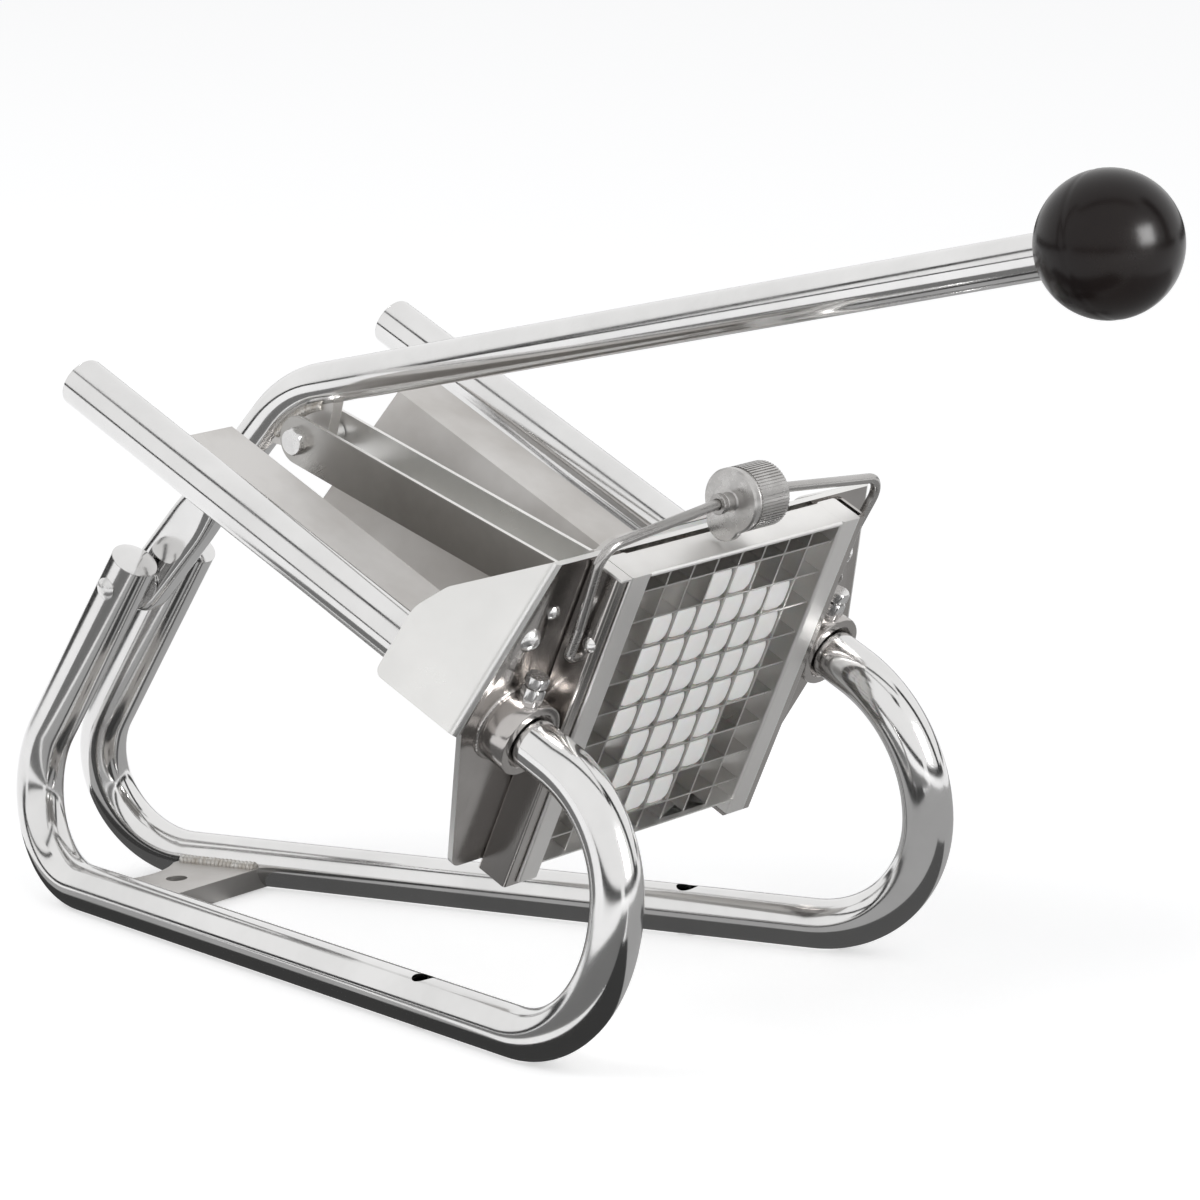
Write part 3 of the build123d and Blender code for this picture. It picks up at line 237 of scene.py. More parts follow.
def ring_profile(outer: float, inner: float, low: float, high: float,
                 edge: float = 0.4) -> list[tuple]:
    """Closed profile of a ring with small chamfers, in millimetres."""
    return [(inner, low + edge), (inner + edge, low), (outer - edge, low), (outer, low + edge),
            (outer, high - edge), (outer - edge, high), (inner + edge, high), (inner, high - edge)]


def dome_profile(radius: float, height: float, low: float = 0.0) -> list[tuple]:
    """Low crown that ends in a pole.

    Args:
        radius: Radius of its edge, in millimetres.
        height: Height of the crown.
        low: Where the edge is along the axis.

    Returns:
        The open profile.
    """
    crown = (radius**2 + height**2) / (2 * height)
    top = math.asin(min(1.0, radius / crown))
    turns = [top * (1 - i / DOME_STEPS) for i in range(DOME_STEPS)]
    arc = [(crown * math.sin(t), low + height - crown + crown * math.cos(t)) for t in turns]
    return arc + [(0, low + height)]


def rivet_profile(radius: float, height: float) -> list[tuple]:
    """Domed head whose foot is sunk a little into what it sits on, in millimetres."""
    sunk = -0.4
    return [(0, sunk), (radius, sunk)] + dome_profile(radius, height)


def hexagon_profile(flats: float, low: float, high: float, edge: float = 0.5) -> list[tuple]:
    """Hexagon head or nut with turned chamfers, in millimetres."""
    corner = flats / math.sqrt(3)
    return [(0, low), (corner * 0.93, low, flats), (corner, low + edge / 2, flats),
            (corner, high - edge, flats), (corner * 0.87, high, flats), (0, high)]


def thread_profile(radius: float, low: float, high: float, pitch: float = 0.8) -> list[tuple]:
    """Shank with thread ridges.

    Args:
        radius: Outer radius, in millimetres.
        low: Where the shank starts along the axis.
        high: Where it ends.
        pitch: Distance between two ridges.

    Returns:
        The open profile.
    """
    root = radius * 0.88
    profile = [(0, low)]
    reach = low
    while reach + pitch <= high:
        profile += [(root, reach), (radius, reach + pitch / 2)]
        reach += pitch
    return profile + [(root, high), (0, high)]


def slab(outline: Sequence[Pair], low: float, high: float, place: Local) -> Shell:
    """A flat plate square to a frame's forward axis, its outline as across and high."""
    return bridged([[place.at(f, y, h) for y, h in outline] for f in (low, high)])


def rounded_outline(corners: Sequence[Triple], steps: int = 8) -> list[Pair]:
    """Outline whose corners are rounded.

    Args:
        corners: Across, high and radius of each corner, in millimetres.
        steps: Stretches round a right-angled corner.

    Returns:
        The outline's points, as across and high.
    """
    flat = [Vector((a, b, 0)) for a, b, _ in corners]
    outline: list[Pair] = []
    for i, (a, b, radius) in enumerate(corners):
        if radius <= 0:
            outline.append((a, b))
            continue
        trio = [flat[i - 1], flat[i], flat[(i + 1) % len(flat)]]
        outline += [(p.x, p.y) for p in bent_path(trio, [radius / MM], 90 / steps)[1:-1]]
    return outline


# --- nodes and finishes
class Nodes:
    """Adds and joins nodes in one tree."""

    def __init__(self, tree: bpy.types.NodeTree) -> None:
        """Works in a tree."""
        self.tree = tree

    def feed(self, node: Node, inputs: dict[str, Value]) -> None:
        """Fills a node's inputs.

        Args:
            node: The node.
            inputs: By identifier or name, a value, a socket, or a node for its first output.
        """
        for key, value in inputs.items():
            socket = next(s for s in node.inputs if key in (s.identifier, s.name))
            source = value.outputs[0] if isinstance(value, Node) else value
            if isinstance(source, Socket):
                self.tree.links.new(source, socket)
            else:
                socket.default_value = source

    def add(self, kind: str, inputs: Optional[dict[str, Value]] = None, **settings: Value) -> Node:
        """Adds a node.

        Args:
            kind: The node's type.
            inputs: What feed takes.
            settings: The node's own settings.

        Returns:
            The node.
        """
        node = self.tree.nodes.new(kind)
        for key, value in settings.items():
            setattr(node, key, value)
        self.feed(node, inputs or {})
        return node

    def maths(self, operation: str, *values: Value) -> Node:
        """Adds a math node on up to three values."""
        inputs = dict(zip(("Value", "Value_001", "Value_002"), values))
        return self.add("ShaderNodeMath", inputs, operation=operation)

    def noise(self, vector: Value, scale: Value, detail: float, roughness: float = 0.5) -> Node:
        """Adds a noise texture."""
        return self.add("ShaderNodeTexNoise", {"Vector": vector, "Scale": scale, "Detail": detail,
                                               "Roughness": roughness})


def bare(owner: bpy.types.ID) -> Nodes:
    """The emptied node tree of a new material or world.

    Args:
        owner: The material or world.

    Returns:
        Its tree, ready for nodes.
    """
    owner.use_nodes = True
    owner.node_tree.nodes.clear()
    return Nodes(owner.node_tree)


class ShadeGroup(Nodes):
    """A shader node group with named inputs and number outputs."""

    def __init__(self, name: str, inputs: dict[str, str], outputs: Sequence[str]) -> None:
        """Starts the group.

        Args:
            name: Its name.
            inputs: Type of each input by its name.
            outputs: Names of the outputs.
        """
        super().__init__(bpy.data.node_groups.new(name, "ShaderNodeTree"))
        sockets = self.tree.interface
        for key, kind in inputs.items():
            sockets.new_socket(key, in_out="INPUT", socket_type=f"NodeSocket{kind}")
        for key in outputs:
            sockets.new_socket(key, in_out="OUTPUT", socket_type="NodeSocketFloat")
        self.way_in = self.add("NodeGroupInput").outputs

    def close(self, outputs: dict[str, Value]) -> bpy.types.NodeTree:
        """Ends the group with what it gives."""
        self.add("NodeGroupOutput", outputs)
        return self.tree


def patches_group() -> bpy.types.NodeTree:
    """Soft uneven patches, such as haze or handling marks, as a mask.

    Returns:
        The group.
    """
    made = ShadeGroup("uneven_patches", {"Vector": "Vector", "Scale": "Float"}, ["Patches"])
    wide = made.noise(made.way_in["Vector"], made.way_in["Scale"], 4.0, 0.6)
    return made.close({"Patches": made.add("ShaderNodeMapRange", {
        "Value": wide, "From Min": 0.35, "From Max": 0.7})})


def grain_group() -> bpy.types.NodeTree:
    """Fine directional grain as a height and a mask; the vector is squeezed along the grain.

    Returns:
        The group.
    """
    made = ShadeGroup("directional_grain", {"Vector": "Vector", "Stretch": "Vector"},
                      ["Height", "Mask"])
    squeezed = made.add("ShaderNodeVectorMath", {
        "Vector": made.way_in["Vector"], "Vector_001": made.way_in["Stretch"]},
        operation="MULTIPLY")
    lines = made.noise(squeezed, 1.0, 5.0, 0.7)
    mask = made.add("ShaderNodeMapRange", {"Value": lines, "From Min": 0.3, "From Max": 0.75})
    return made.close({"Height": lines, "Mask": mask})


PATCHES, GRAIN = patches_group(), grain_group()


@dataclass(frozen=True)
class Finish:
    """A surface: colour and gloss vary in patches, with a fine grain along one direction."""

    name: str
    colour: Triple
    deep: Triple
    gloss: float
    haze: float
    metal: bool = True
    patch: float = 22.0  # fineness of the patches
    stretch: Triple = (40.0, 2600.0, 2600.0)  # fineness of the grain along each axis
    tilt: float = 0.0  # how far those axes lean, in degrees
    relief: float = 0.004  # height of the grain, in millimetres
    shine: float = 0.5
    inner_light: float = 0.0

    def material(self) -> bpy.types.Material:
        """The finish as a material, built once."""
        return bpy.data.materials.get(self.name) or self.build()

    def build(self) -> bpy.types.Material:
        """Builds the material.

        Returns:
            The material.
        """
        made = bpy.data.materials.new(self.name)
        made.use_nodes = True
        nodes = Nodes(made.node_tree)
        where = nodes.add("ShaderNodeTexCoord").outputs["Object"]
        leaned = nodes.add("ShaderNodeMapping", {
            "Vector": where, "Rotation": (0, -math.radians(self.tilt), 0)}, vector_type="TEXTURE")
        patch = nodes.add("ShaderNodeGroup", node_tree=PATCHES)
        nodes.feed(patch, {"Vector": where, "Scale": self.patch})
        grain = nodes.add("ShaderNodeGroup", node_tree=GRAIN)
        nodes.feed(grain, {"Vector": leaned, "Stretch": self.stretch})
        tone = nodes.add("ShaderNodeMix", data_type="RGBA")
        nodes.feed(tone, {"Factor_Float": patch, "A_Color": (*self.colour, 1),
                          "B_Color": (*self.deep, 1)})
        rough = nodes.add("ShaderNodeMapRange", {
            "Value": patch, "To Min": self.gloss, "To Max": self.gloss + self.haze})
        nodes.feed(made.node_tree.nodes["Principled BSDF"], {
            "Base Color": next(s for s in tone.outputs if s.identifier == "Result_Color"),
            "Roughness": nodes.maths("MULTIPLY_ADD", grain.outputs["Mask"],
                                     self.haze * GRAIN_SHARE, rough),
            "Normal": nodes.add("ShaderNodeBump", {
                "Strength": 1.0, "Distance": self.relief * MM, "Height": grain.outputs["Height"]}),
            "Metallic": float(self.metal),
            "Specular IOR Level": self.shine,
            "Subsurface Weight": self.inner_light,
            "Subsurface Scale": SCATTER_DEPTH})
        return made


MIRROR = Finish("mirror_tube", (0.78, 0.775, 0.77), (0.70, 0.695, 0.69), 0.08, 0.06, relief=0.001)
SATIN = Finish("satin_sheet", (0.64, 0.625, 0.61), (0.54, 0.52, 0.50), 0.36, 0.12, tilt=27.0)
# Darker copy of the satin sheet for the link's outer wall faces: painted shade.
SHADED_LINK_SIDE = Finish("link_side_painted_shade", (0.46, 0.45, 0.435), (0.36, 0.35, 0.335), 0.24, 0.10,
              tilt=27.0, relief=0.003)
# Lighter copy of the satin sheet for the plate's guards and the link's inner faces: painted light.
LIT_SATIN = Finish("satin_steel_painted_light", (0.83, 0.825, 0.81), (0.78, 0.775, 0.76), 0.26, 0.08,
               tilt=27.0, relief=0.003)
SHEET = Finish("polished_plate", (0.54, 0.52, 0.505), (0.44, 0.42, 0.405), 0.13, 0.08,
               tilt=27.0, stretch=(2600.0, 40.0, 2600.0), relief=0.002)
BAR = Finish("brushed_bar", (0.86, 0.85, 0.835), (0.80, 0.79, 0.775), 0.34, 0.10,
             tilt=27.0, relief=0.003)
BLADES = Finish("ground_blade", (0.64, 0.63, 0.615), (0.55, 0.54, 0.525), 0.26, 0.09,
                tilt=27.0, relief=0.002)
BRIGHT = Finish("bright_fitting", (0.82, 0.815, 0.81), (0.70, 0.695, 0.69), 0.18, 0.10,
                patch=90.0, stretch=(900.0, 900.0, 900.0), relief=0.003)
WIRE = Finish("drawn_wire", (0.48, 0.47, 0.46), (0.38, 0.37, 0.36), 0.20, 0.10,
              stretch=(1800.0, 60.0, 1800.0))
WHEEL = Finish("turned_wheel", (0.56, 0.55, 0.54), (0.44, 0.43, 0.42), 0.22, 0.12,
               patch=120.0, stretch=(1400.0, 5200.0, 1400.0), relief=0.008)
WELD = Finish("weld_metal", (0.66, 0.65, 0.63), (0.46, 0.42, 0.37), 0.24, 0.22,
              patch=260.0, stretch=(1500.0, 1500.0, 1500.0), relief=0.02)
BLACK = Finish("black_ball", (0.007, 0.004, 0.0038), (0.011, 0.007, 0.006), 0.21, 0.04,
               metal=False, patch=40.0, stretch=(700.0, 700.0, 700.0), relief=0.0008, shine=0.26)
WHITE = Finish("white_pusher", (0.93, 0.925, 0.91), (0.88, 0.87, 0.845), 0.34, 0.12,
               metal=False, patch=60.0, stretch=(500.0, 500.0, 500.0), relief=0.006,
               inner_light=0.15)
BUSHING = Finish("bush_plastic_white", (0.84, 0.83, 0.79), (0.76, 0.74, 0.70), 0.45, 0.12,
                 metal=False, patch=80.0, stretch=(700.0, 2600.0, 700.0))


@dataclass(frozen=True)
class Coat:
    """What a piece wears and rides on."""

    body: Body
    slot: Slot
    finish: Finish

    def put_on(self, made: Object, nodes: Sequence[str] = ()) -> Object:
        """Gives a finished piece its material and body, and hides the nodes that it stands for.

        Args:
            made: The piece, in place.
            nodes: CAD nodes that it replaces.

        Returns:
            The piece.
        """
        made.data.materials.clear()
        made.data.materials.append(self.finish.material())
        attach(made, self.body.value)
        if nodes:
            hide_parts(*nodes)
        log.info("%s: %d faces", made.name, len(made.data.polygons))
        return made


# --- pieces
def new_object(name: str, data: bpy.types.ID) -> Object:
    """Puts a mesh, lamp or camera into the scene.

    Args:
        name: The object's name.
        data: The mesh, lamp or camera.

    Returns:
        The object.
    """
    made = bpy.data.objects.new(name, data)
    bpy.context.scene.collection.objects.link(made)
    return made


@contextmanager
def reworked(mesh: Mesh, source: Optional[Mesh] = None) -> Iterator[bmesh.types.BMesh]:
    """Opens a mesh for a change and writes the result.

    Args:
        mesh: The mesh that is written.
        source: The mesh that is read, if it is another one.

    Yields:
        The faces to change.
    """
    work = bmesh.new()
    work.from_mesh(source or mesh)
    yield work
    work.to_mesh(mesh)
    work.free()


def mesh_of(name: str, shell: Shell) -> Mesh:
    """Mesh of a skin, with doubles merged and faces turned outwards.

    Args:
        name: The mesh's name.
        shell: The skin.

    Returns:
        The mesh.
    """
    mesh = bpy.data.meshes.new(name)
    mesh.from_pydata([tuple(p) for p in shell[0]], [], shell[1])
    with reworked(mesh) as work:
        bmesh.ops.remove_doubles(work, verts=work.verts, dist=SAME_POINT)
        bmesh.ops.recalc_face_normals(work, faces=work.faces)
    return mesh


def settled(made: Object) -> None:
    """Turns what an object's modifiers give into its own plain mesh.

    Args:
        made: The object.
    """
    seen = made.evaluated_get(bpy.context.evaluated_depsgraph_get())
    mesh = bpy.data.meshes.new_from_object(seen)
    made.modifiers.clear()
    made.data = mesh


def shaded(mesh: Mesh, angle: float = 38.0) -> None:
    """Smooth faces, with edges sharper than an angle in degrees kept sharp."""
    mesh.shade_smooth()
    mesh.set_sharp_from_angle(angle=math.radians(angle))


def edged(made: Object, width: float) -> None:
    """Rounds a piece's sharp edges and lets its large faces hold their own shading.

    Args:
        made: The piece.
        width: Width of the rounding, in millimetres.
    """
    bevel = made.modifiers.new("edges", "BEVEL")
    bevel.width, bevel.segments = width * MM, BEVEL_FACES
    bevel.limit_method, bevel.angle_limit = "ANGLE", math.radians(BEVEL_ANGLE)
    bevel.miter_outer = "MITER_ARC"
    settled(made)
    shaded(made.data)
    made.modifiers.new("weighted", "WEIGHTED_NORMAL").keep_sharp = True
    settled(made)


def drilled(made: Object, base: Vector, axis: Vector, radius: float, reach: Pair,
            sides: int) -> None:
    """Bores a round hole through a piece, once its other modifiers have done their work.

    Args:
        made: The piece.
        base: Start of the hole's axis, in metres.
        axis: Direction of the axis.
        radius: The hole's radius, in millimetres.
        reach: Where the hole starts and ends along the axis, in millimetres.
        sides: Points round it.
    """
    low, high = reach
    drill = turned(base, axis, [(0, low), (radius, low), (radius, high), (0, high)], sides)
    cutter = new_object("drill", mesh_of("drill", drill))
    cut = made.modifiers.new("hole", "BOOLEAN")
    cut.operation, cut.object, cut.solver = "DIFFERENCE", cutter, "EXACT"
    settled(made)
    bpy.data.objects.remove(cutter)


def piece(name: str, shell: Shell, coat: Coat, nodes: Sequence[str] = (),
          edge: float = 0.0) -> Object:
    """Makes a piece from a skin.

    Args:
        name: Its name.
        shell: Its skin.
        coat: What it wears.
        nodes: CAD nodes that it replaces.
        edge: Width of its rounded edges in millimetres, or 0.

    Returns:
        The piece.
    """
    made = new_object(name, mesh_of(name, shell))
    if edge:
        edged(made, edge)
    else:
        shaded(made.data)
    return coat.put_on(made, nodes)


def folded(node: str, coat: Coat, edge: float, name: str = "") -> Object:
    """A copy of a CAD node with merged faces and softly rounded edges, in the node's place.

    Args:
        node: The node.
        coat: What it wears.
        edge: Width of its rounded edges, in millimetres.
        name: The piece's name, or the node's with a suffix.

    Returns:
        The piece.
    """
    mesh = bpy.data.meshes.new(node)
    with reworked(mesh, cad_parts[node].data) as work:
        bmesh.ops.remove_doubles(work, verts=work.verts, dist=SAME_CAD_POINT)
        bmesh.ops.dissolve_limit(work, angle_limit=math.radians(FLAT_ANGLE), verts=work.verts,
                                 edges=work.edges)
    for layer in ("custom_normal", "sharp_edge", "sharp_face"):
        if layer in mesh.attributes:
            mesh.attributes.remove(mesh.attributes[layer])
    made = new_object(name or f"{node}_dressed", mesh)
    edged(made, edge)
    return coat.put_on(made, [node])


def parted(whole: Object, name: str, chosen: Callable[[bmesh.types.BMFace], bool]) -> Object:
    """Moves the faces that a test chooses from a piece into a new one.

    Args:
        whole: The piece, which keeps the other faces.
        name: The new piece's name.
        chosen: The test.

    Returns:
        The new piece, which has no coat of its own yet.
    """
    part = whole.copy()
    part.data = whole.data.copy()
    part.name = name
    bpy.context.scene.collection.objects.link(part)
    for made, wanted in ((whole, False), (part, True)):
        with reworked(made.data) as work:
            others = [f for f in work.faces if chosen(f) != wanted]
            bmesh.ops.delete(work, geom=others, context="FACES")
    return part


def recoated(node: str, finish: Finish) -> None:
    """Gives a CAD node whose shape stays a better material.

    Args:
        node: The node.
        finish: Its new finish.
    """
    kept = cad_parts[node]
    kept.data.materials.clear()
    kept.data.materials.append(finish.material())
    log.info("%s keeps its shape", node)


# --- geometry trees
class GeoTree(Nodes):
    """A geometry node tree with named sizes, which ends in plain geometry with a material."""

    def __init__(self, name: str) -> None:
        """Starts the tree.

        Args:
            name: Its name.
        """
        super().__init__(bpy.data.node_groups.new(name, "GeometryNodeTree"))
        self.tree.is_modifier = True
        self.keys: dict[str, str] = {}
        for way in ("INPUT", "OUTPUT"):
            self.tree.interface.new_socket("Geometry", in_out=way,
                                           socket_type="NodeSocketGeometry")
        self.way_in = self.add("NodeGroupInput")
        self.start = self.way_in.outputs["Geometry"]

    def size(self, name: str, kind: str = "Float") -> Socket:
        """Adds a named input.

        Args:
            name: Its name.
            kind: Its type.

        Returns:
            Where it enters the tree.
        """
        made = self.tree.interface.new_socket(name, in_out="INPUT",
                                              socket_type=f"NodeSocket{kind}")
        self.keys[name] = made.identifier
        return self.way_in.outputs[name]

    def bar(self, line: Node, radius: Socket, sides: Value, girth: Value, capped: Value) -> Node:
        """Round bar along a curve.

        Args:
            line: The curve.
            radius: The bar's radius.
            sides: Points round it.
            girth: What the radius is multiplied by at each point.
            capped: Whether its ends are closed.

        Returns:
            The node that gives the bar.
        """
        section = self.add("GeometryNodeCurvePrimitiveCircle", mode="RADIUS")
        self.feed(section, {"Resolution": sides, "Radius": radius})
        return self.add("GeometryNodeCurveToMesh", {"Curve": line, "Profile Curve": section,
                                                    "Scale": girth, "Fill Caps": capped})

    def close(self, geometry: Node) -> "GeoTree":
        """Ends the tree: instances made real, then the material set.

        Args:
            geometry: The last node.

        Returns:
            The tree.
        """
        stuff = self.size("Material", "Material")
        real = self.add("GeometryNodeRealizeInstances", {"Geometry": geometry})
        coated = self.add("GeometryNodeSetMaterial", {"Geometry": real, "Material": stuff})
        self.add("NodeGroupOutput", {"Geometry": coated})
        return self

    def grow(self, name: str, start: Mesh, finish: Finish, sizes: dict[str, Value]) -> Object:
        """Runs the tree on a mesh.

        Args:
            name: The new object's name.
            start: Mesh that enters the tree.
            finish: Finish of what the tree makes.
            sizes: Values of the named inputs.

        Returns:
            An object with the result as its plain mesh.
        """
        made = new_object(name, start)
        modifier = made.modifiers.new(self.tree.name, "NODES")
        modifier.node_group = self.tree
        for key, value in {**sizes, "Material": finish.material()}.items():
            modifier[self.keys[key]] = value
        made.update_tag()
        settled(made)
        return made


def swept_tree() -> GeoTree:
    """Round bar along a line of points, with each point's girth.

    Returns:
        The tree.
    """
    tree = GeoTree("swept_bar")
    radius, sides, capped = (tree.size(*size) for size in (
        ("Radius",), ("Sides", "Int"), ("Capped", "Bool")))
    line = tree.add("GeometryNodeMeshToCurve", {"Mesh": tree.start})
    girth = tree.add("GeometryNodeInputNamedAttribute", {"Name": "girth"}, data_type="FLOAT")
    return tree.close(tree.bar(line, radius, sides, girth.outputs["Attribute"], capped))


def bead_tree() -> GeoTree:
    """Weld bead along a line of points: ripples of even pitch with an uneven swell.

    Returns:
        The tree.
    """
    tree = GeoTree("weld_bead")
    radius, pitch, ripple = (tree.size(name) for name in ("Radius", "Pitch", "Ripple"))
    line = tree.add("GeometryNodeMeshToCurve", {"Mesh": tree.start})
    evened = tree.add("GeometryNodeResampleCurve", mode="LENGTH")
    tree.feed(evened, {"Curve": line, "Length": tree.maths("DIVIDE", pitch, 8.0)})
    along = tree.add("GeometryNodeSplineParameter").outputs["Length"]
    phase = tree.maths("MULTIPLY", tree.maths("DIVIDE", along, pitch), math.pi)
    lobe = tree.maths("ABSOLUTE", tree.maths("SINE", phase))
    uneven = tree.noise(tree.add("GeometryNodeInputPosition"), 160.0, 2.0)
    swell = tree.maths("MULTIPLY_ADD", tree.maths("ADD", lobe, uneven), ripple, 1.0)
    return tree.close(tree.bar(evened, radius, BEAD_SIDES, swell, True))


def copies_tree() -> GeoTree:
    """A copy of one object at each point of a mesh.

    Returns:
        The tree.
    """
    tree = GeoTree("copies_on_points")
    seen = tree.add("GeometryNodeObjectInfo", {"Object": tree.size("Piece", "Object")},
                    transform_space="ORIGINAL")
    return tree.close(tree.add("GeometryNodeInstanceOnPoints", {
        "Points": tree.start, "Instance": seen.outputs["Geometry"]}))


def knurl_tree() -> GeoTree:
    """Ridges along the rim of a wheel that turns about the left-right axis.

    Returns:
        The tree.
    """
    tree = GeoTree("knurled_rim")
    count, rim, ridge, centre = (tree.size(*size) for size in (
        ("Count", "Int"), ("Rim Radius",), ("Ridge", "Vector"), ("Centre", "Vector")))
    circle = tree.add("GeometryNodeMeshCircle", {"Vertices": count, "Radius": rim},
                      fill_type="NONE")
    place = tree.add("GeometryNodeInputPosition")
    facing = tree.add("FunctionNodeAlignRotationToVector", {"Vector": place}, axis="X")
    bar = tree.add("GeometryNodeMeshCube", {"Size": ridge})
    ridges = tree.add("GeometryNodeInstanceOnPoints", {"Points": circle, "Instance": bar,
                                                       "Rotation": facing})
    stood = tree.add("GeometryNodeTransform", {"Geometry": ridges, "Translation": centre,
                                               "Rotation": (math.pi / 2, 0, 0)})
    joined = tree.add("GeometryNodeJoinGeometry", {"Geometry": stood})
    tree.feed(joined, {"Geometry": tree.start})
    return tree.close(joined)


SWEPT, BEAD, COPIES, KNURL = swept_tree(), bead_tree(), copies_tree(), knurl_tree()


def line_mesh(name: str, path: Sequence[Vector], girths: Optional[Sequence[float]] = None,
              looped: bool = False) -> Mesh:
    """Points joined in order, for the trees that follow a line.

    Args:
        name: The mesh's name.
        path: The points, in metres.
        girths: Each point's girth, or 1 for all.
        looped: Whether the last point joins the first.

    Returns:
        The mesh.
    """
    mesh = bpy.data.meshes.new(name)
    count = len(path)
    edges = [(i, i + 1) for i in range(count - 1)] + ([(count - 1, 0)] if looped else [])
    mesh.from_pydata([tuple(p) for p in path], edges, [])
    layer = mesh.attributes.new("girth", "FLOAT", "POINT")
    layer.data.foreach_set("value", list(girths or [1.0] * count))
    return mesh


def beads(name: str, runs: Sequence[tuple[Sequence[Vector], bool]], coat: Coat, radius: float,
          ripple: float = 0.28) -> Object:
    """Weld beads as one piece.

    Args:
        name: The piece's name.
        runs: Points of each bead, and whether it closes on itself.
        coat: What it wears.
        radius: Half its width, in millimetres.
        ripple: Depth of its ripples as a share of the radius.

    Returns:
        The piece.
    """
    sizes = {"Radius": radius * MM, "Pitch": BEAD_PITCH * MM, "Ripple": ripple}
    parts = [BEAD.grow(f"{name}_{i}", line_mesh(name, run, looped=looped), coat.finish, sizes)
             for i, (run, looped) in enumerate(runs)]
    mesh = bpy.data.meshes.new(name)
    with reworked(mesh) as work:
        for part in parts:
            work.from_mesh(part.data)
            bpy.data.objects.remove(part)
        bmesh.ops.recalc_face_normals(work, faces=work.faces)
    shaded(mesh, BEAD_CREASE)
    return coat.put_on(new_object(name, mesh))


def copied(name: str, shell: Shell, places: Sequence[Vector], coat: Coat,
           nodes: Sequence[str] = ()) -> Object:
    """Copies of one shape at many places as one piece.

    Args:
        name: The piece's name.
        shell: The shape round the origin.
        places: Where the copies go, in metres.
        coat: What it wears.
        nodes: CAD nodes that it replaces.

    Returns:
        The piece.
    """
    master = new_object(f"{name}_master", mesh_of(name, shell))
    shaded(master.data)
    points = bpy.data.meshes.new(name)
    points.from_pydata([tuple(p) for p in places], [], [])
    made = COPIES.grow(name, points, coat.finish, {"Piece": master})
    bpy.data.objects.remove(master)
    return coat.put_on(made, nodes)


# --- tube frame
@dataclass
class TubeFrame:
    """Two bent tubes, their end plugs, the rear cross plate and its welds. In millimetres."""

    radius: float = 10.0
    wall: float = 1.5
    sides: int = 56
    guide_length: float = 305.0
    corner: Pair = (113.0, 100.5)  # ahead, high
    foot: Pair = (110.0, 100.5)  # ahead, from the middle
    heel_x: float = -313.5
    upright_half: float = 17.0
    upright_length: float = 173.0
    bends: Triple = (55.0, 55.0, 40.0)
    bend_step: float = 2.5
    hole: float = 4.5
    hole_reach: Pair = (-5, 30)
    plug: Triple = (8.4, 9.9, 2.2)  # stem's radius, rim's radius, crown
    plate: Triple = (-236.0, -197.0, 10.0)  # rear edge, front edge, top
    weld_rows: tuple[Pair, Pair] = ((0.2, 10.3), (-4.4, 9.4))  # above the top, inside the rail
    weld: Pair = (1.9, 1.0)  # radius, distance from the plate's edges
    weld_steps: int = 8

    def rail_half(self, x: float) -> float:
        """Distance of a base rail from the middle at x."""
        share = (x - self.heel_x) / (self.foot[0] - self.heel_x)
        return self.upright_half + (self.foot[1] - self.upright_half) * share

    def corners(self, side: int) -> list[Vector]:
        """Corner points of one tube's path.

        Args:
            side: 1 for the left tube, -1 for the right.

        Returns:
            The points in metres, from the guide's tail to the upright's top.
        """
        corner = Vector((self.corner[0], side * GUIDE_HALF, self.corner[1]))
        tail = corner - GUIDE.forward * self.guide_length
        foot = Vector((self.foot[0], side * self.foot[1], self.radius))
        heel = Vector((self.heel_x, side * self.upright_half, self.radius))
        top = heel + UPRIGHT.forward * self.upright_length
        return [p * MM for p in (tail, corner, foot, heel, top)]

    def tube(self, name: str) -> None:
        """One bent tube with its wall and its fixing hole.

        Args:
            name: Its side's name.
        """
        side = SIDES[name]
        path = bent_path(self.corners(side), self.bends, self.bend_step)
        start = line_mesh(f"tube_{name}", path)
        made = SWEPT.grow(f"bent_tube_{name}", start, MIRROR, {
            "Radius": self.radius * MM, "Sides": self.sides, "Capped": False})
        wall = made.modifiers.new("wall", "SOLIDIFY")
        wall.thickness, wall.offset = self.wall * MM, -1
        rail = Vector((0, side * self.rail_half(0), 0)) * MM
        drilled(made, rail, UP, self.hole, self.hole_reach, 32)
        shaded(made.data, TUBE_CREASE)
        Coat(Body.FRAME, Slot.TUBE, MIRROR).put_on(made, [f"frame_tube_{name}"])

    def plugs(self) -> None:
        """Domed plugs, each with a fine seam at the tube's end."""
        stem, lip, crown = self.plug
        profile = [(0, -4), (stem, -4), (stem, -0.1), (lip - 0.2, -0.1), (lip, 0.12)]
        profile += dome_profile(lip, crown, 0.3)
        ends = {"guide": (0, -GUIDE.forward), "upright": (-1, UPRIGHT.forward)}
        for name, (index, out) in ends.items():
            shells = [turned(self.corners(side)[index], out, profile, self.sides)
                      for side in SIDES.values()]
            piece(f"{name}_plugs_domed", together(*shells), Coat(Body.FRAME, Slot.TUBE, MIRROR),
                  [f"{name}_end_plugs"])

    def welds(self) -> None:
        """Beads where the cross plate meets the rails, above and below."""
        rear, front, top = self.plate
        radius, short = self.weld
        runs = []
        for side in SIDES.values():
            for high, inset in self.weld_rows:
                reaches = [rear + short + (front - rear - 2 * short) * i / self.weld_steps
                           for i in range(self.weld_steps + 1)]
                runs.append(([Vector((x, side * (self.rail_half(x) - inset), top + high)) * MM
                              for x in reaches], False))
        beads("cross_plate_welds", runs, Coat(Body.FRAME, Slot.SATIN, WELD), radius)

    def build(self) -> None:
        """Makes all its pieces."""
        for name in SIDES:
            self.tube(name)
        self.plugs()
        folded("rear_cross_plate", Coat(Body.FRAME, Slot.SATIN, SATIN), 0.6)
        self.welds()


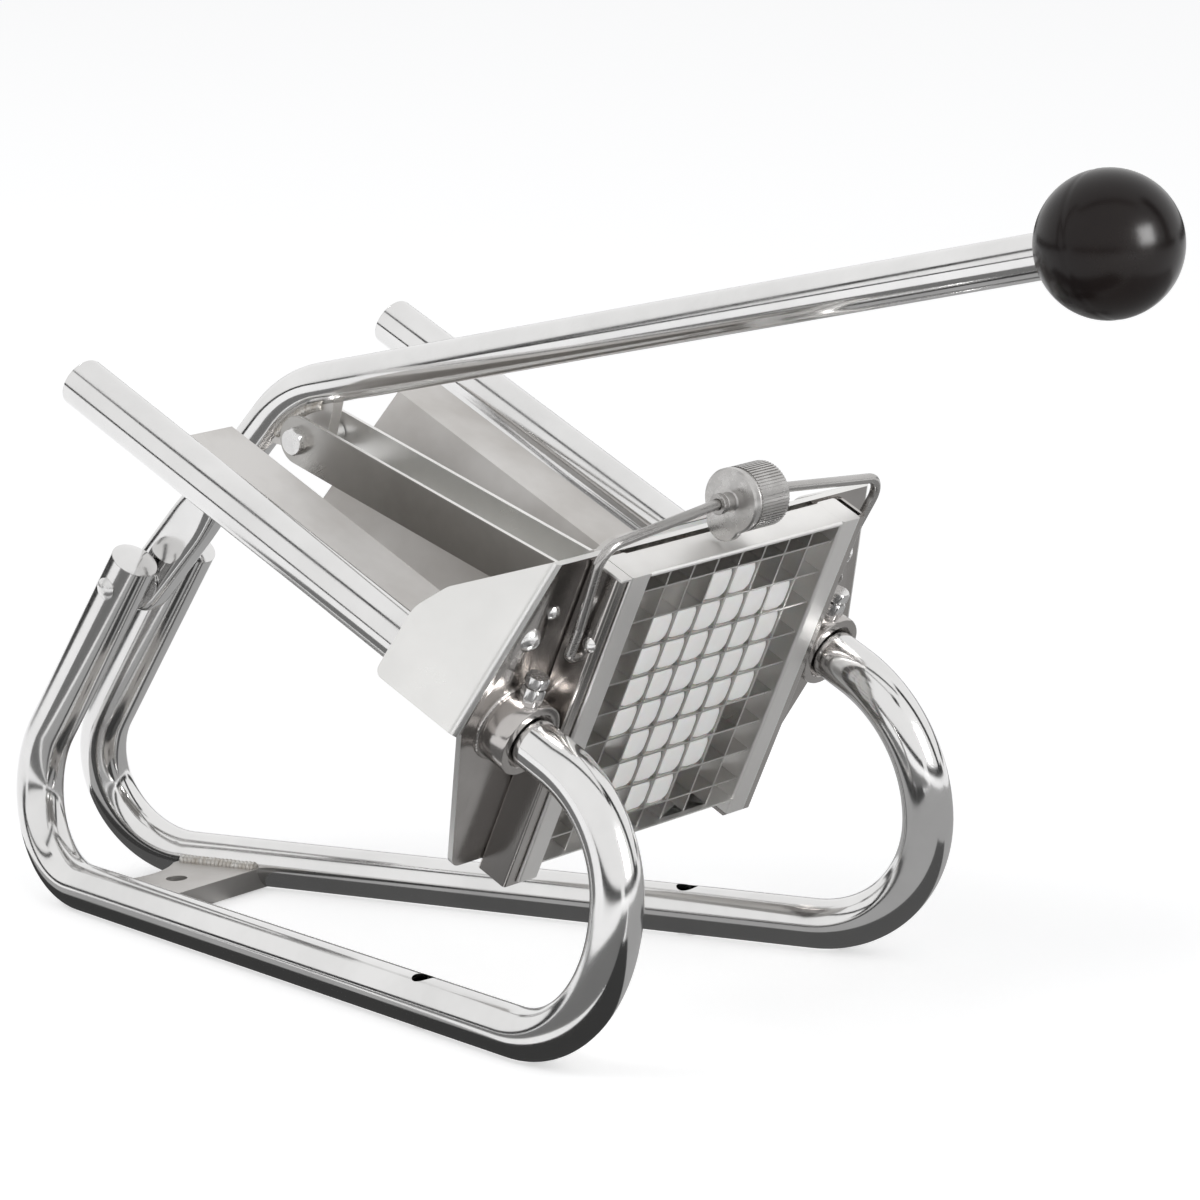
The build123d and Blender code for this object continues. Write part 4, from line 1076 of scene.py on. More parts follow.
# --- front plate and its fittings
@dataclass
class PlateFittings:
    """Front plate with finger guards, collars, set bolts, screws, rivets and holders."""

    collar: Triple = (15.0, 10.06, 13.5)  # outer radius, bore, length
    recess: Pair = (11.25, 2.5)  # radius, depth
    collar_bead: Triple = (0.3, 15.1, 1.1)  # ahead, ring's radius, bead's radius
    bolt_ahead: float = 6.5
    bolt_flats: float = 8.0
    shank: float = 2.5
    nut_height: float = 5.0
    head_height: float = 4.0
    sheet: float = 2.5
    tab: float = 1.5
    screw: Pair = (92.5, 37.0)  # across, high
    button: Pair = (5.0, 3.0)  # radius, crown
    rivet: Pair = (84.0, 47.0)
    rivet_head: Pair = (3.0, 1.5)
    stud: Triple = (12.0, 73.5, 38.5)  # ahead, across, high
    stud_head: Pair = (3.0, 1.2)

    def plate(self) -> None:
        """The plate as two pieces: its polished front face, and its guards with the back in a
        lighter satin, which is painted light.
        """
        guards = Coat(Body.FRAME, Slot.SHEET, LIT_SATIN)
        made = folded("front_plate", guards, 0.45, "front_plate_guards")
        face = parted(made, "front_plate_face", lambda f: f.normal.dot(GUIDE.forward) > 0.97)
        Coat(Body.FRAME, Slot.SHEET, SHEET).put_on(face, ["front_plate"])

    def collars(self) -> None:
        """Collars with a recessed mouth and a rounded rim, and the weld round each one's root."""
        coat = Coat(Body.FRAME, Slot.SHEET, SHEET)
        outer, inner, length = self.collar
        mouth, deep = self.recess
        profile = [(inner, 0.3), (outer - 0.3, 0.0), (outer, 0.4), (outer, length - 0.9),
                   (outer - 0.3, length - 0.25), (outer - 1.0, length), (mouth + 0.4, length),
                   (mouth, length - 0.4), (mouth, length - deep), (inner, length - deep)]
        ahead, wide, radius = self.collar_bead
        steps = 48
        runs = []
        for name, side in SIDES.items():
            base = GUIDE.at(0, side * GUIDE_HALF, 0)
            piece(f"collar_{name}_turned", turned(base, GUIDE.forward, profile, 72, closed=True),
                  coat, [f"collar_{name}"])
            turns = [math.tau * i / steps for i in range(steps)]
            runs.append(([GUIDE.at(ahead, side * GUIDE_HALF + wide * math.cos(t),
                                   wide * math.sin(t)) for t in turns], True))
        beads("collar_welds", runs, coat, radius, 0.06)

    def bolts(self) -> None:
        """Weld nuts on the collars and the set bolts through them."""
        coat = Coat(Body.FRAME, Slot.FASTENER, BRIGHT)
        low = self.nut_height + 1.0
        nut, shank, head = (turned(Vector(), GUIDE.up, profile) for profile in (
            hexagon_profile(self.bolt_flats, -1.0, self.nut_height),
            thread_profile(self.shank, -4.0, self.nut_height + 1.2),
            hexagon_profile(self.bolt_flats, low, low + self.head_height)))
        places = GUIDE.both(self.bolt_ahead, GUIDE_HALF, self.collar[0])
        copied("weld_nuts_chamfered", nut, places, coat, ["collar_weld_nuts"])
        copied("set_bolts_threaded", together(shank, head), places, coat, ["collar_set_bolts"])

    def screws(self) -> None:
        """Button screws with a hexagon socket, their nuts, the rivets and the holders' studs."""
        coat = Coat(Body.FRAME, Slot.FASTENER, BRIGHT)
        back = self.sheet + self.tab
        button, crown = self.button
        head = [(0, -0.5), (button, -0.5)] + dome_profile(button, crown)[:-3]
        head += [(1.9, 2.75), (1.7, 2.6, 3.0), (1.7, 1.2, 3.0), (0, 0.9)]
        thread = thread_profile(self.shank, -back - self.nut_height - 0.6, 0)
        screw = together(*(turned(Vector(), GUIDE.forward, shape) for shape in (head, thread)))
        nut = turned(Vector(), -GUIDE.forward, hexagon_profile(self.bolt_flats, 0, self.nut_height))
        rivet = turned(Vector(), GUIDE.forward, rivet_profile(*self.rivet_head), 36)
        copied("button_screws", screw, GUIDE.both(0, *self.screw), coat, ["plate_screws"])
        copied("plate_nuts_chamfered", nut, GUIDE.both(-back, *self.screw), coat, ["plate_nuts"])
        copied("rivet_heads", rivet, GUIDE.both(0, *self.rivet), coat, ["plate_rivets"])
        studs = [turned(place, LEFT * side, rivet_profile(*self.stud_head), 36)
                 for place, side in zip(GUIDE.both(*self.stud), SIDES.values())]
        piece("holder_studs_domed", together(*studs), coat, ["holder_studs"])

    def build(self) -> None:
        """Makes all its pieces."""
        self.plate()
        for name in SIDES:
            folded(f"block_holder_{name}", Coat(Body.FRAME, Slot.SHEET, SHEET), 0.25)
        self.collars()
        self.bolts()
        self.screws()


# --- cutting block and feed tray
@dataclass
class CuttingBlock:
    """Side and end bars with the interlocked blades."""

    bar_edge: float = 0.25
    tab_across: Pair = (-73.4, -67.6)
    tab_high: Pair = (68.0, 69.1)
    tab_depth: Pair = (1.6, 15.9)

    def build(self) -> None:
        """Makes its pieces, with the tab that closes the right holder's top."""
        sheet = Coat(Body.FRAME, Slot.SHEET, BAR)
        (out, near), (low, high) = self.tab_across, self.tab_high
        corners = [(out, low), (near, low), (near, high), (out, high)]
        piece("holder_top_tab", slab(corners, *self.tab_depth, GUIDE), sheet, edge=self.bar_edge)
        for bar in ("side_bar_left", "side_bar_right", "top_bar", "bottom_bar"):
            folded(f"block_{bar}", sheet, self.bar_edge)
        for node in ("cutting_blades", "cross_blades"):
            recoated(node, BLADES)


@dataclass
class FeedTray:
    """Folded trough for the food."""

    edge: float = 0.3

    def build(self) -> None:
        """Makes the tray."""
        folded("feed_tray", Coat(Body.FRAME, Slot.SATIN, SATIN), self.edge)


# --- bail and clamping wheel
@dataclass
class Bail:
    """Spring wire bail with its stops, the knurled wheel and the cam."""

    wire: float = 2.0
    play: float = 0.06
    pivot: Pair = (8.0, 31.0)
    leg: float = 77.0
    end: float = 69.6
    knee: float = 44.0
    corner: Triple = (85.5, 80.5, 79.5)  # across on the left, on the right, high
    crown: Pair = (21.0, 87.0)  # across, high
    bends: tuple[float, float, float, float] = (2.2, 9.0, 9.0, 27.0)
    tip: Pair = (0.12, 0.72)  # share of the last stretch, girth at the end
    wheel: Pair = (12.5, 9.0)  # radius, half width
    core: float = 0.55
    ridges: int = 60
    ridge: tuple[float, float, float, float] = (0.62, 1.1, 0.72, 1.2)  # sunk, deep, wide, short
    cam: float = 8.0
    cam_disc: Pair = (3.2, 3.6)  # thickness, hub's radius
    lobe: Pair = (8.0, 78.4)  # radius, high
    stop: Triple = (4.0, 2.4, 0.3)  # radius, width, gap

    def half(self, side: int, spread: float) -> list[Vector]:
        """Corner points of half the bail.

        Args:
            side: 1 for the left half, -1 for the right.
            spread: How far out its upper corner is.

        Returns:
            The points, from its end to its crown.
        """
        ahead, high = self.pivot
        places = [(self.end, high), (self.leg, high), (self.leg, self.knee),
                  (spread, self.corner[2]), self.crown]
        return [GUIDE.at(ahead, side * y, h) for y, h in places]

    def wires(self) -> None:
        """The bent wire with rounded ends, and its two stop rings."""
        coat = Coat(Body.BAIL, Slot.WIRE, WIRE)
        corners = self.half(1, self.corner[0]) + self.half(-1, self.corner[1])[::-1]
        path = bent_path(corners, [*self.bends, *self.bends[::-1]], 6)
        share, thin = self.tip
        first, last = path[0], path[-1]
        path = [first, first.lerp(path[1], share), *path[1:-1], last.lerp(path[-2], share), last]
        girths = [thin] + [1.0] * (len(path) - 2) + [thin]
        made = SWEPT.grow("bail_wire_bent", line_mesh("bail_wire", path, girths), WIRE, {
            "Radius": self.wire * MM, "Sides": 24, "Capped": True})
        shaded(made.data)
        coat.put_on(made, ["bail_wire"])
        outer, width, gap = self.stop
        profile = ring_profile(outer, self.wire, 0, width, 0.3)
        near = self.wheel[1] + gap
        places = ((1, near), (-1, near + self.cam))
        rings = [turned(GUIDE.at(self.pivot[0], side * reach, self.crown[1]), LEFT * side,
                        profile, 32, closed=True) for side, reach in places]
        piece("wire_stop_rings", together(*rings), coat, ["bail_wire_stops"])

    def clamp(self) -> None:
        """The knurled wheel with its plain chamfered faces, and the cam beside it."""
        coat = Coat(Body.KNOB, Slot.KNOB, WHEEL)
        radius, half = self.wheel
        centre = GUIDE.at(self.pivot[0], 0, self.crown[1])
        core, bore = radius - self.core, self.wire + self.play
        profile = [(bore, -half + 0.3), (bore + 0.3, -half), (core - 0.6, -half),
                   (core, -half + 0.9)]
        profile += [(r, -a) for r, a in profile[::-1]]
        body = mesh_of("wheel", turned(centre, LEFT, profile, 72, closed=True))
        sunk, deep, wide, short = self.ridge
        made = KNURL.grow("clamp_wheel_knurled", body, WHEEL, {
            "Count": self.ridges, "Rim Radius": (radius - sunk) * MM, "Centre": tuple(centre),
            "Ridge": (deep * MM, wide * MM, (2 * half - 2 * short) * MM)})
        shaded(made.data, 25)
        coat.put_on(made, ["clamp_knob"])
        face, hub = self.cam_disc
        disc = [(bore, 0.1), (radius - 0.3, 0.1), (radius, 0.4), (radius, face - 0.7),
                (radius - 0.7, face), (hub + 0.5, face), (hub, face + 0.5),
                (hub, self.cam - 0.5), (hub - 0.5, self.cam), (bore, self.cam)]
        size, high = self.lobe
        lobe = [(0, 0.1), (size, 0.1), (size, face - 0.5), (size - 0.5, face - 0.02),
                (0, face - 0.02)]
        at = [GUIDE.at(self.pivot[0], -half, h) for h in (self.crown[1], high)]
        shells = [turned(at[0], -LEFT, disc, 72, closed=True), turned(at[1], -LEFT, lobe)]
        piece("clamp_cam_disc", together(*shells), coat, ["clamp_cam"])

    def build(self) -> None:
        """Makes all its pieces."""
        self.wires()
        self.clamp()


# --- lever
@dataclass
class Lever:
    """Bent hand lever with a flattened eye, its lug and welds, the ball and the pivot pin."""

    radius: float = 8.5
    sides: int = 56
    leg: float = 123.0
    arm: float = 408.0
    bend: float = 60.0
    half_bend: float = 16.6
    flat: Pair = (6.0, 10.5)  # half width, half height
    tail: float = 5.0
    flat_start: float = -3.0
    flat_length: float = 34.0
    flat_rings: int = 4
    blend: float = 36.0
    blend_rings: int = 12
    eye_steps: tuple[float, ...] = (0.02, 0.6, 2.0, 4.5, 7.5)
    pin: float = 4.0
    play: float = 0.06
    pin_reach: float = 26.6
    ball: float = 26.5
    seat: float = 24.5
    socket: float = 13.0
    seam: Triple = (-0.6, 0.5, 0.3)  # place along the axis, width, depth
    lug_weld: Triple = (34.0, 10.0, 3.2)  # reach each way, bare ends, from the middle
    lug_bead: float = 1.3
    bush: Triple = (6.0, 3.06, 19.4)  # outer radius, bore, length

    def section(self, ahead: float) -> Triple:
        """The lever tube's section.

        Args:
            ahead: Distance up the leg from the pivot, in millimetres.

        Returns:
            Half width, half height and squareness, where 2 is round.
        """
        share = min(1.0, max(0.0, (ahead - self.flat_length) / self.blend))
        share = share * share * (3 - 2 * share)
        wide = self.flat[0] + (self.radius - self.flat[0]) * share
        high = self.flat[1] + (self.radius - self.flat[1]) * share
        if ahead < -self.tail:
            high = math.sqrt(max(0.0, self.flat[1] ** 2 - (ahead + self.tail) ** 2))
        return wide, high, 4.0 - 2.0 * share

    def eye(self, turns: Sequence[Pair]) -> list[list[Vector]]:
        """Rings from the flat eye's rounded end to where the tube is round.

        Args:
            turns: Cosine and sine of each point's turn.

        Returns:
            The rings, in metres.
        """
        end = -self.tail - self.flat[1]
        reaches = [end + step for step in self.eye_steps]
        reaches += [self.flat_length * i / self.flat_rings + self.flat_start
                    for i in range(self.flat_rings + 1)]
        reaches += [self.flat_length + self.blend * i / self.blend_rings
                    for i in range(self.blend_rings + 1)]
        rings = []
        for reach in reaches:
            wide, high, power = self.section(reach)
            square = [[math.copysign(abs(s) ** (2 / power), s) for s in turn] for turn in turns]
            rings.append([LEG.at(reach, y * wide, h * high) for y, h in square])
        return rings

    def tube(self) -> None:
        """The lever's tube, from its rounded flat eye to its end inside the ball."""
        turns = [(math.cos(t), math.sin(t))
                 for t in (math.tau * k / self.sides for k in range(self.sides))]
        rings = self.eye(turns)
        start = LEG.at(self.flat_length + self.blend, 0, 0)
        tip = ARM.at(self.arm - self.seat + self.socket - 0.5, 0, 0)
        path = bent_path([start, LEG.at(self.leg, 0, 0), tip], [self.bend], 1.5)[1:]
        for i, place in enumerate(path):
            ahead = (path[min(i + 1, len(path) - 1)] - path[max(i - 1, 0)]).normalized()
            if i == 0:
                ahead = LEG.forward
            rise = Vector((-ahead.z, 0, ahead.x))
            rings.append([place + (LEFT * c + rise * s) * self.radius * MM for c, s in turns])
        made = new_object("lever_tube_bent", mesh_of("lever_tube", bridged(rings)))
        drilled(made, LEG.at(0, -20, 0), LEFT, self.pin + self.play, (0, 40), 40)
        shaded(made.data, 34)
        Coat(Body.LEVER, Slot.TUBE, MIRROR).put_on(made, ["lever_tube"])

    def handle(self) -> None:
        """The ball: a flat seat with a soft rim, a moulding seam, and a blind socket."""
        rim = math.sqrt(self.ball**2 - self.seat**2)
        profile = [(0, 4.0), (self.radius, 4.0), (self.radius + 0.15, 0.6),
                   (self.radius + 0.6, 0.0), (rim - 0.8, 0.0), (rim - 0.2, 0.12)]
        first = math.acos((0.5 - self.seat) / self.ball)
        place, width, deep = self.seam
        steps = 72
        for i in range(steps):
            turn = first * (1 - i / steps)
            radius, reach = self.ball * math.sin(turn), self.ball * math.cos(turn)
            seam = math.exp(-(((reach - place) / width) ** 2)) * deep
            profile.append((radius - seam, reach + self.seat))
        profile.append((0, self.ball + self.seat))
        ball = turned(ARM.at(self.arm - self.seat, 0, 0), ARM.forward, profile, 96)
        piece("ball_handle", ball, Coat(Body.LEVER, Slot.BALL, BLACK), ["ball_knob"])
        recoated("ball_knob_stud", BRIGHT)

    def lug_welds(self) -> None:
        """Beads on both faces where the lug meets the inside of the bend."""
        reach, bare_end, out = self.lug_weld
        skin = self.radius + 0.1
        corner = LEG.at(self.leg, 0, 0) - (LEG.up + ARM.up).normalized() * skin * MM / math.cos(
            math.radians(self.half_bend))
        outer = bent_path([LEG.at(self.leg - reach, 0, -skin), corner, ARM.at(reach, 0, -skin)],
                          [self.bend - self.radius], 4)
        inner = [p for p in outer
                 if min((p - end).length for end in (outer[0], outer[-1])) / MM > bare_end]
        runs = [([p + LEFT * side * out * MM for p in inner], False) for side in SIDES.values()]
        beads("lug_welds", runs, Coat(Body.LEVER, Slot.SATIN, WELD), self.lug_bead)

    def pivot(self) -> None:
        """The pin with domed ends, the washers and the lug's bush."""
        pin, reach = self.pin, self.pin_reach
        profile = [(0, 0), (pin, 0), (pin, reach), (pin + 0.6, reach + 0.1),
                   (pin + 0.7, reach + 0.5)]
        profile += dome_profile(pin + 0.6, 1.6, reach + 0.6)
        shells = [turned(LEG.at(0, 0, 0), LEFT * side, profile, 40) for side in SIDES.values()]
        piece("pivot_pin_domed", together(*shells), Coat(Body.FRAME, Slot.FASTENER, BRIGHT),
              ["lever_pivot_pin"])
        recoated("lever_pivot_washers", BRIGHT)
        outer, inner, length = self.bush
        bush = turned(LINK.at(0, -length / 2, 0), LEFT, ring_profile(outer, inner, 0, length), 40,
                      closed=True)
        piece("lug_bush_turned", bush, Coat(Body.LEVER, Slot.SATIN, BRIGHT), ["lever_lug_bush"])

    def build(self) -> None:
        """Makes all its pieces."""
        self.tube()
        folded("lever_lug", Coat(Body.LEVER, Slot.SATIN, SATIN), 0.4)
        self.lug_welds()
        self.handle()
        self.pivot()


# --- link
@dataclass
class Link:
    """Channel link with its bolt, nut, front pin and clip."""

    length: float = 163.0
    out: float = 12.0
    flats: float = 10.0
    bolt: float = 3.0
    head_height: float = 4.0
    nut_height: float = 5.0
    spare: float = 6.0
    cheek: float = 3.0
    gap: float = 0.3
    pin: float = 4.0
    pin_head: float = 6.5
    clip: float = 2.0

    def is_outer(self, face: bmesh.types.BMFace) -> bool:
        """Whether a face of the channel is on the outside of a wall."""
        place = abs(face.calc_center_median().y)
        return abs(face.normal.y) > 0.9 and place > (self.out - 0.1) * MM

    def build(self) -> None:
        """Makes all its pieces."""
        # Inner faces wear the lighter copy as painted light, outer wall faces the darker copy as
        # painted shade.
        inside = folded("link_channel", Coat(Body.LINK, Slot.SATIN, LIT_SATIN), 0.35,
                        "link_channel_inside")
        outside = parted(inside, "link_channel_outside", self.is_outer)
        Coat(Body.LINK, Slot.SATIN, SHADED_LINK_SIDE).put_on(outside, ["link_channel"])
        bright = Coat(Body.LINK, Slot.FASTENER, BRIGHT)
        right, left = LINK.at(0, -self.out, 0), LINK.at(0, self.out, 0)
        head = turned(right, -LEFT, hexagon_profile(self.flats, 0, self.head_height, 0.8))
        thread = thread_profile(self.bolt, 0, 2 * self.out + self.spare, 1.0)
        bolt = together(head, turned(right, LEFT, thread, 32))
        piece("link_bolt_threaded", bolt, bright, ["link_bolt"])
        nut = turned(left, LEFT, hexagon_profile(self.flats, 0, self.nut_height, 0.8))
        piece("link_nut_chamfered", nut, bright, ["link_nut"])
        seat = self.out + self.gap + self.cheek + self.gap
        pin, wide, end = self.pin, self.pin_head, 2 * seat + self.clip
        profile = [(0, -2.5), (wide - 0.6, -2.5), (wide, -2.0), (wide, -0.3), (wide - 0.3, 0),
                   (pin, 0), (pin, end + 0.1), (pin - 0.4, end + 0.5), (0, end + 0.5)]
        headed = turned(LINK.at(self.length, -seat, 0), LEFT, profile, 40)
        piece("yoke_pin_headed", headed, bright, ["yoke_pin"])
        clip = turned(LINK.at(self.length, seat, 0), LEFT,
                      ring_profile(wide, pin, 0, self.clip, 0.3), 40, closed=True)
        piece("yoke_clip_ring", clip, bright, ["yoke_pin_clip"])


# --- carriage
@dataclass
class Carriage:
    """Back plate, slide housings with bushes, and the studded pusher with its screws."""

    housing: Pair = (14.0, 12.0)  # outer radius, bore
    ends: Pair = (-44.0, -8.0)  # rear, front
    bush: Triple = (12.0, 2.0, 10.06)  # sleeve's radius, flange's thickness, bore
    sleeve_length: float = 12.0
    front: float = -4.5
    depth: float = 12.0
    back: float = 3.0
    tip: float = 13.75
    cell: float = 14.0
    top_row: float = 52.2
    stud: float = 13.05
    rows: tuple[int, ...] = (2, 6, 6, 6, 6, 4, 4, 2)
    screw_rows: Pair = (40.0, -14.0)
    outline: tuple[Triple, ...] = (
        (-18.42, -53.5, 11.0), (18.42, -53.5, 11.0), (46.5, 0.0, 0.0), (46.5, 59.0, 12.0),
        (-46.5, 59.0, 12.0), (-46.5, 0.0, 0.0))

    def slides(self) -> None:
        """Housings round the guides, each with a flanged bush in either end."""
        rear, front = self.ends
        sleeve, flange, bore = self.bush
        wide, low = self.housing[0], -self.sleeve_length
        profile = [(bore, low), (sleeve, low), (sleeve, 0), (wide - 0.4, 0), (wide, 0.4),
                   (wide, flange - 0.6), (wide - 0.6, flange), (bore + 0.5, flange),
                   (bore, flange - 0.5)]
        for name, side in SIDES.items():
            tube = turned(GUIDE.at(0, side * GUIDE_HALF, 0), GUIDE.forward,
                          ring_profile(*self.housing, rear, front, 0.6), 64, closed=True)
            piece(f"slide_housing_{name}_turned", tube, Coat(Body.CARRIAGE, Slot.SATIN, SATIN),
                  [f"slide_housing_{name}"])
            shells = [turned(GUIDE.at(seat, side * GUIDE_HALF, 0), GUIDE.forward * out, profile,
                             64, closed=True) for seat, out in ((front, 1), (rear, -1))]
            piece(f"slide_bushes_{name}_flanged", together(*shells),
                  Coat(Body.CARRIAGE, Slot.BUSH, BUSHING), [f"slide_bushes_{name}"])

    def pusher(self) -> None:
        """Pusher body, and a pillowed stud for each cell that it fills."""
        coat = Coat(Body.CARRIAGE, Slot.PUSHER, WHITE)
        body = slab(rounded_outline(self.outline), self.front - self.depth, self.front, GUIDE)
        piece("pusher_body_moulded", body, coat, ["pusher_block"], edge=1.0)
        length = self.tip - self.front
        rings = []
        for reach, inset, corner in (
                (-0.6, 0, 1.6), (length - 2.4, 0, 1.8), (length - 1.2, 0.12, 2.6),
                (length - 0.5, 0.35, 3.6), (length - 0.15, 0.9, 3.9), (length, 2.2, 3.4)):
            size = self.stud / 2 - inset
            square = rounded_outline([(size * y, size * h, corner) for y, h in (
                (-1, -1), (1, -1), (1, 1), (-1, 1))], 5)
            rings.append([(GUIDE.forward * reach + LEFT * y + GUIDE.up * h) * MM
                          for y, h in square])
        places = [GUIDE.at(self.front, (i - (count - 1) / 2) * self.cell,
                           self.top_row - row * self.cell)
                  for row, count in enumerate(self.rows) for i in range(count)]
        copied("pusher_studs", bridged(rings), places, coat)

    def screws(self) -> None:
        """Pan head screws behind the back plate."""
        seat = self.front - self.depth - self.back
        head = [(0, -0.4), (4.5, -0.4), (4.5, 1.2), (4.1, 2.2), (3.2, 2.8),
                (2.0, 2.75), (1.2, 1.9), (0, 1.6)]
        places = [GUIDE.at(seat, side * self.cell * 2, h)
                  for side in SIDES.values() for h in self.screw_rows]
        copied("pusher_screw_heads", turned(Vector(), -GUIDE.forward, head, 40), places,
               Coat(Body.CARRIAGE, Slot.FASTENER, BRIGHT), ["pusher_screws"])

    def build(self) -> None:
        """Makes all its pieces."""
        folded("carriage_plate", Coat(Body.CARRIAGE, Slot.SATIN, SATIN), 0.4)
        self.slides()
        self.pusher()
        self.screws()


# --- studio
@dataclass
class Studio:
    """Pale floor, world, soft lamps, dark cards that only the metal mirrors as painted reflections
    and painted shade, a bright card as a painted highlight, and the camera.
    """

    eye: Triple = (1.2229, -1.3668, 0.5242)
    azimuth: float = 41.16
    elevation: float = 11.49
    roll: float = 2.267
    lens: float = 144.75
    sensor: float = 36.0
    aim: Triple = (0, 0, 0.12)
    reach: float = 30.0
    splay: float = 11.15  # of the base rails, in degrees
    horizon: Triple = (3.2, 0.18, 20.0)  # distance and height in metres, first turn in degrees

    def camera(self) -> None:
        """The camera, rolled a little about its own axis."""
        az, el, roll = (math.radians(a) for a in (self.azimuth, self.elevation, self.roll))
        ahead = Vector((-math.sin(az) * math.cos(el), math.cos(az) * math.cos(el), -math.sin(el)))
        right = Vector((math.cos(az), math.sin(az), 0))
        down = ahead.cross(right)
        across = right * math.cos(roll) + down * math.sin(roll)
        drop = down * math.cos(roll) - right * math.sin(roll)
        data = bpy.data.cameras.new("camera")
        data.lens, data.sensor_width = self.lens, self.sensor
        data.clip_start, data.clip_end = 0.05, 50.0
        made = new_object("camera", data)
        turn = Matrix((across, -drop, -ahead)).transposed().to_4x4()
        made.matrix_world = Matrix.Translation(self.eye) @ turn
        bpy.context.scene.camera = made

    def seen_directly(self, nodes: Nodes) -> Node:
        """1 for camera, glossy and transmission rays, and 0 for the rays that light the object.

        Args:
            nodes: The tree that asks.

        Returns:
            The node that gives 1 or 0.
        """
        rays = nodes.add("ShaderNodeLightPath").outputs
        first = nodes.maths("MAXIMUM", rays["Is Camera Ray"], rays["Is Glossy Ray"])
        return nodes.maths("MAXIMUM", first, rays["Is Transmission Ray"])

    def world(self) -> None:
        """White where it is seen, and a softer light on the object."""
        made = bpy.data.worlds.new("studio")
        bpy.context.scene.world = made
        nodes = bare(made)
        light = {"Color": (0.98, 0.985, 1.0, 1), "Strength": 0.45}
        white = {"Color": (1, 1, 1, 1), "Strength": 1.0}
        mixed = nodes.add("ShaderNodeMixShader", {
            "Fac": self.seen_directly(nodes), "Shader": nodes.add("ShaderNodeBackground", light),
            "Shader_001": nodes.add("ShaderNodeBackground", white)})
        nodes.add("ShaderNodeOutputWorld", {"Surface": mixed})

    def panel(self, name: str, place: Triple, size: Pair, facing: Quaternion) -> Object:
        """A rectangle of the stage.

        Args:
            name: Its name.
            place: Its centre, in metres.
            size: Width and height, in metres.
            facing: How it is turned from lying level.

        Returns:
            The rectangle, without a material.
        """
        wide, high = size[0] / 2, size[1] / 2
        corners = [Vector(place) + facing @ Vector(c) for c in (
            (-wide, -high, 0), (wide, -high, 0), (wide, high, 0), (-wide, high, 0))]
        made = new_object(name, mesh_of(name, (corners, [(0, 1, 2, 3)])))
        made.data.materials.append(bpy.data.materials.new(name))
        return made

    def facing(self, place: Triple) -> Quaternion:
        """The turn that makes a lamp or card face the object."""
        return (Vector(self.aim) - Vector(place)).to_track_quat("-Z", "Y")

    def floor(self) -> None:
        """Wide floor, white where it is seen, with the object's soft shadow."""
        made = self.panel("studio_floor", (0, 0, 0), (2 * self.reach, 2 * self.reach), Quaternion())
        nodes = bare(made.data.materials[0])
        paint = nodes.add("ShaderNodeBsdfDiffuse", {"Color": (0.82, 0.82, 0.82, 1)})
        glow = nodes.add("ShaderNodeEmission", {"Color": (1, 1, 1, 1), "Strength": 0.53})
        lit = nodes.add("ShaderNodeAddShader", {"Shader": paint, "Shader_001": glow})
        mixed = nodes.add("ShaderNodeMixShader", {
            "Fac": self.seen_directly(nodes), "Shader": paint, "Shader_001": lit})
        nodes.add("ShaderNodeOutputMaterial", {"Surface": mixed})

    def lamp(self, name: str, place: Triple, size: Pair, power: float) -> None:
        """A soft lamp that faces the object and isn't mirrored in it.

        Args:
            name: Its name.
            place: Its centre, in metres.
            size: Width and height, in metres.
            power: Its power, in watts.
        """
        data = bpy.data.lights.new(name, "AREA")
        data.shape, data.size, data.size_y, data.energy = "RECTANGLE", *size, power
        made = new_object(name, data)
        made.location = place
        made.rotation_euler = self.facing(place).to_euler()
        made.visible_glossy = False

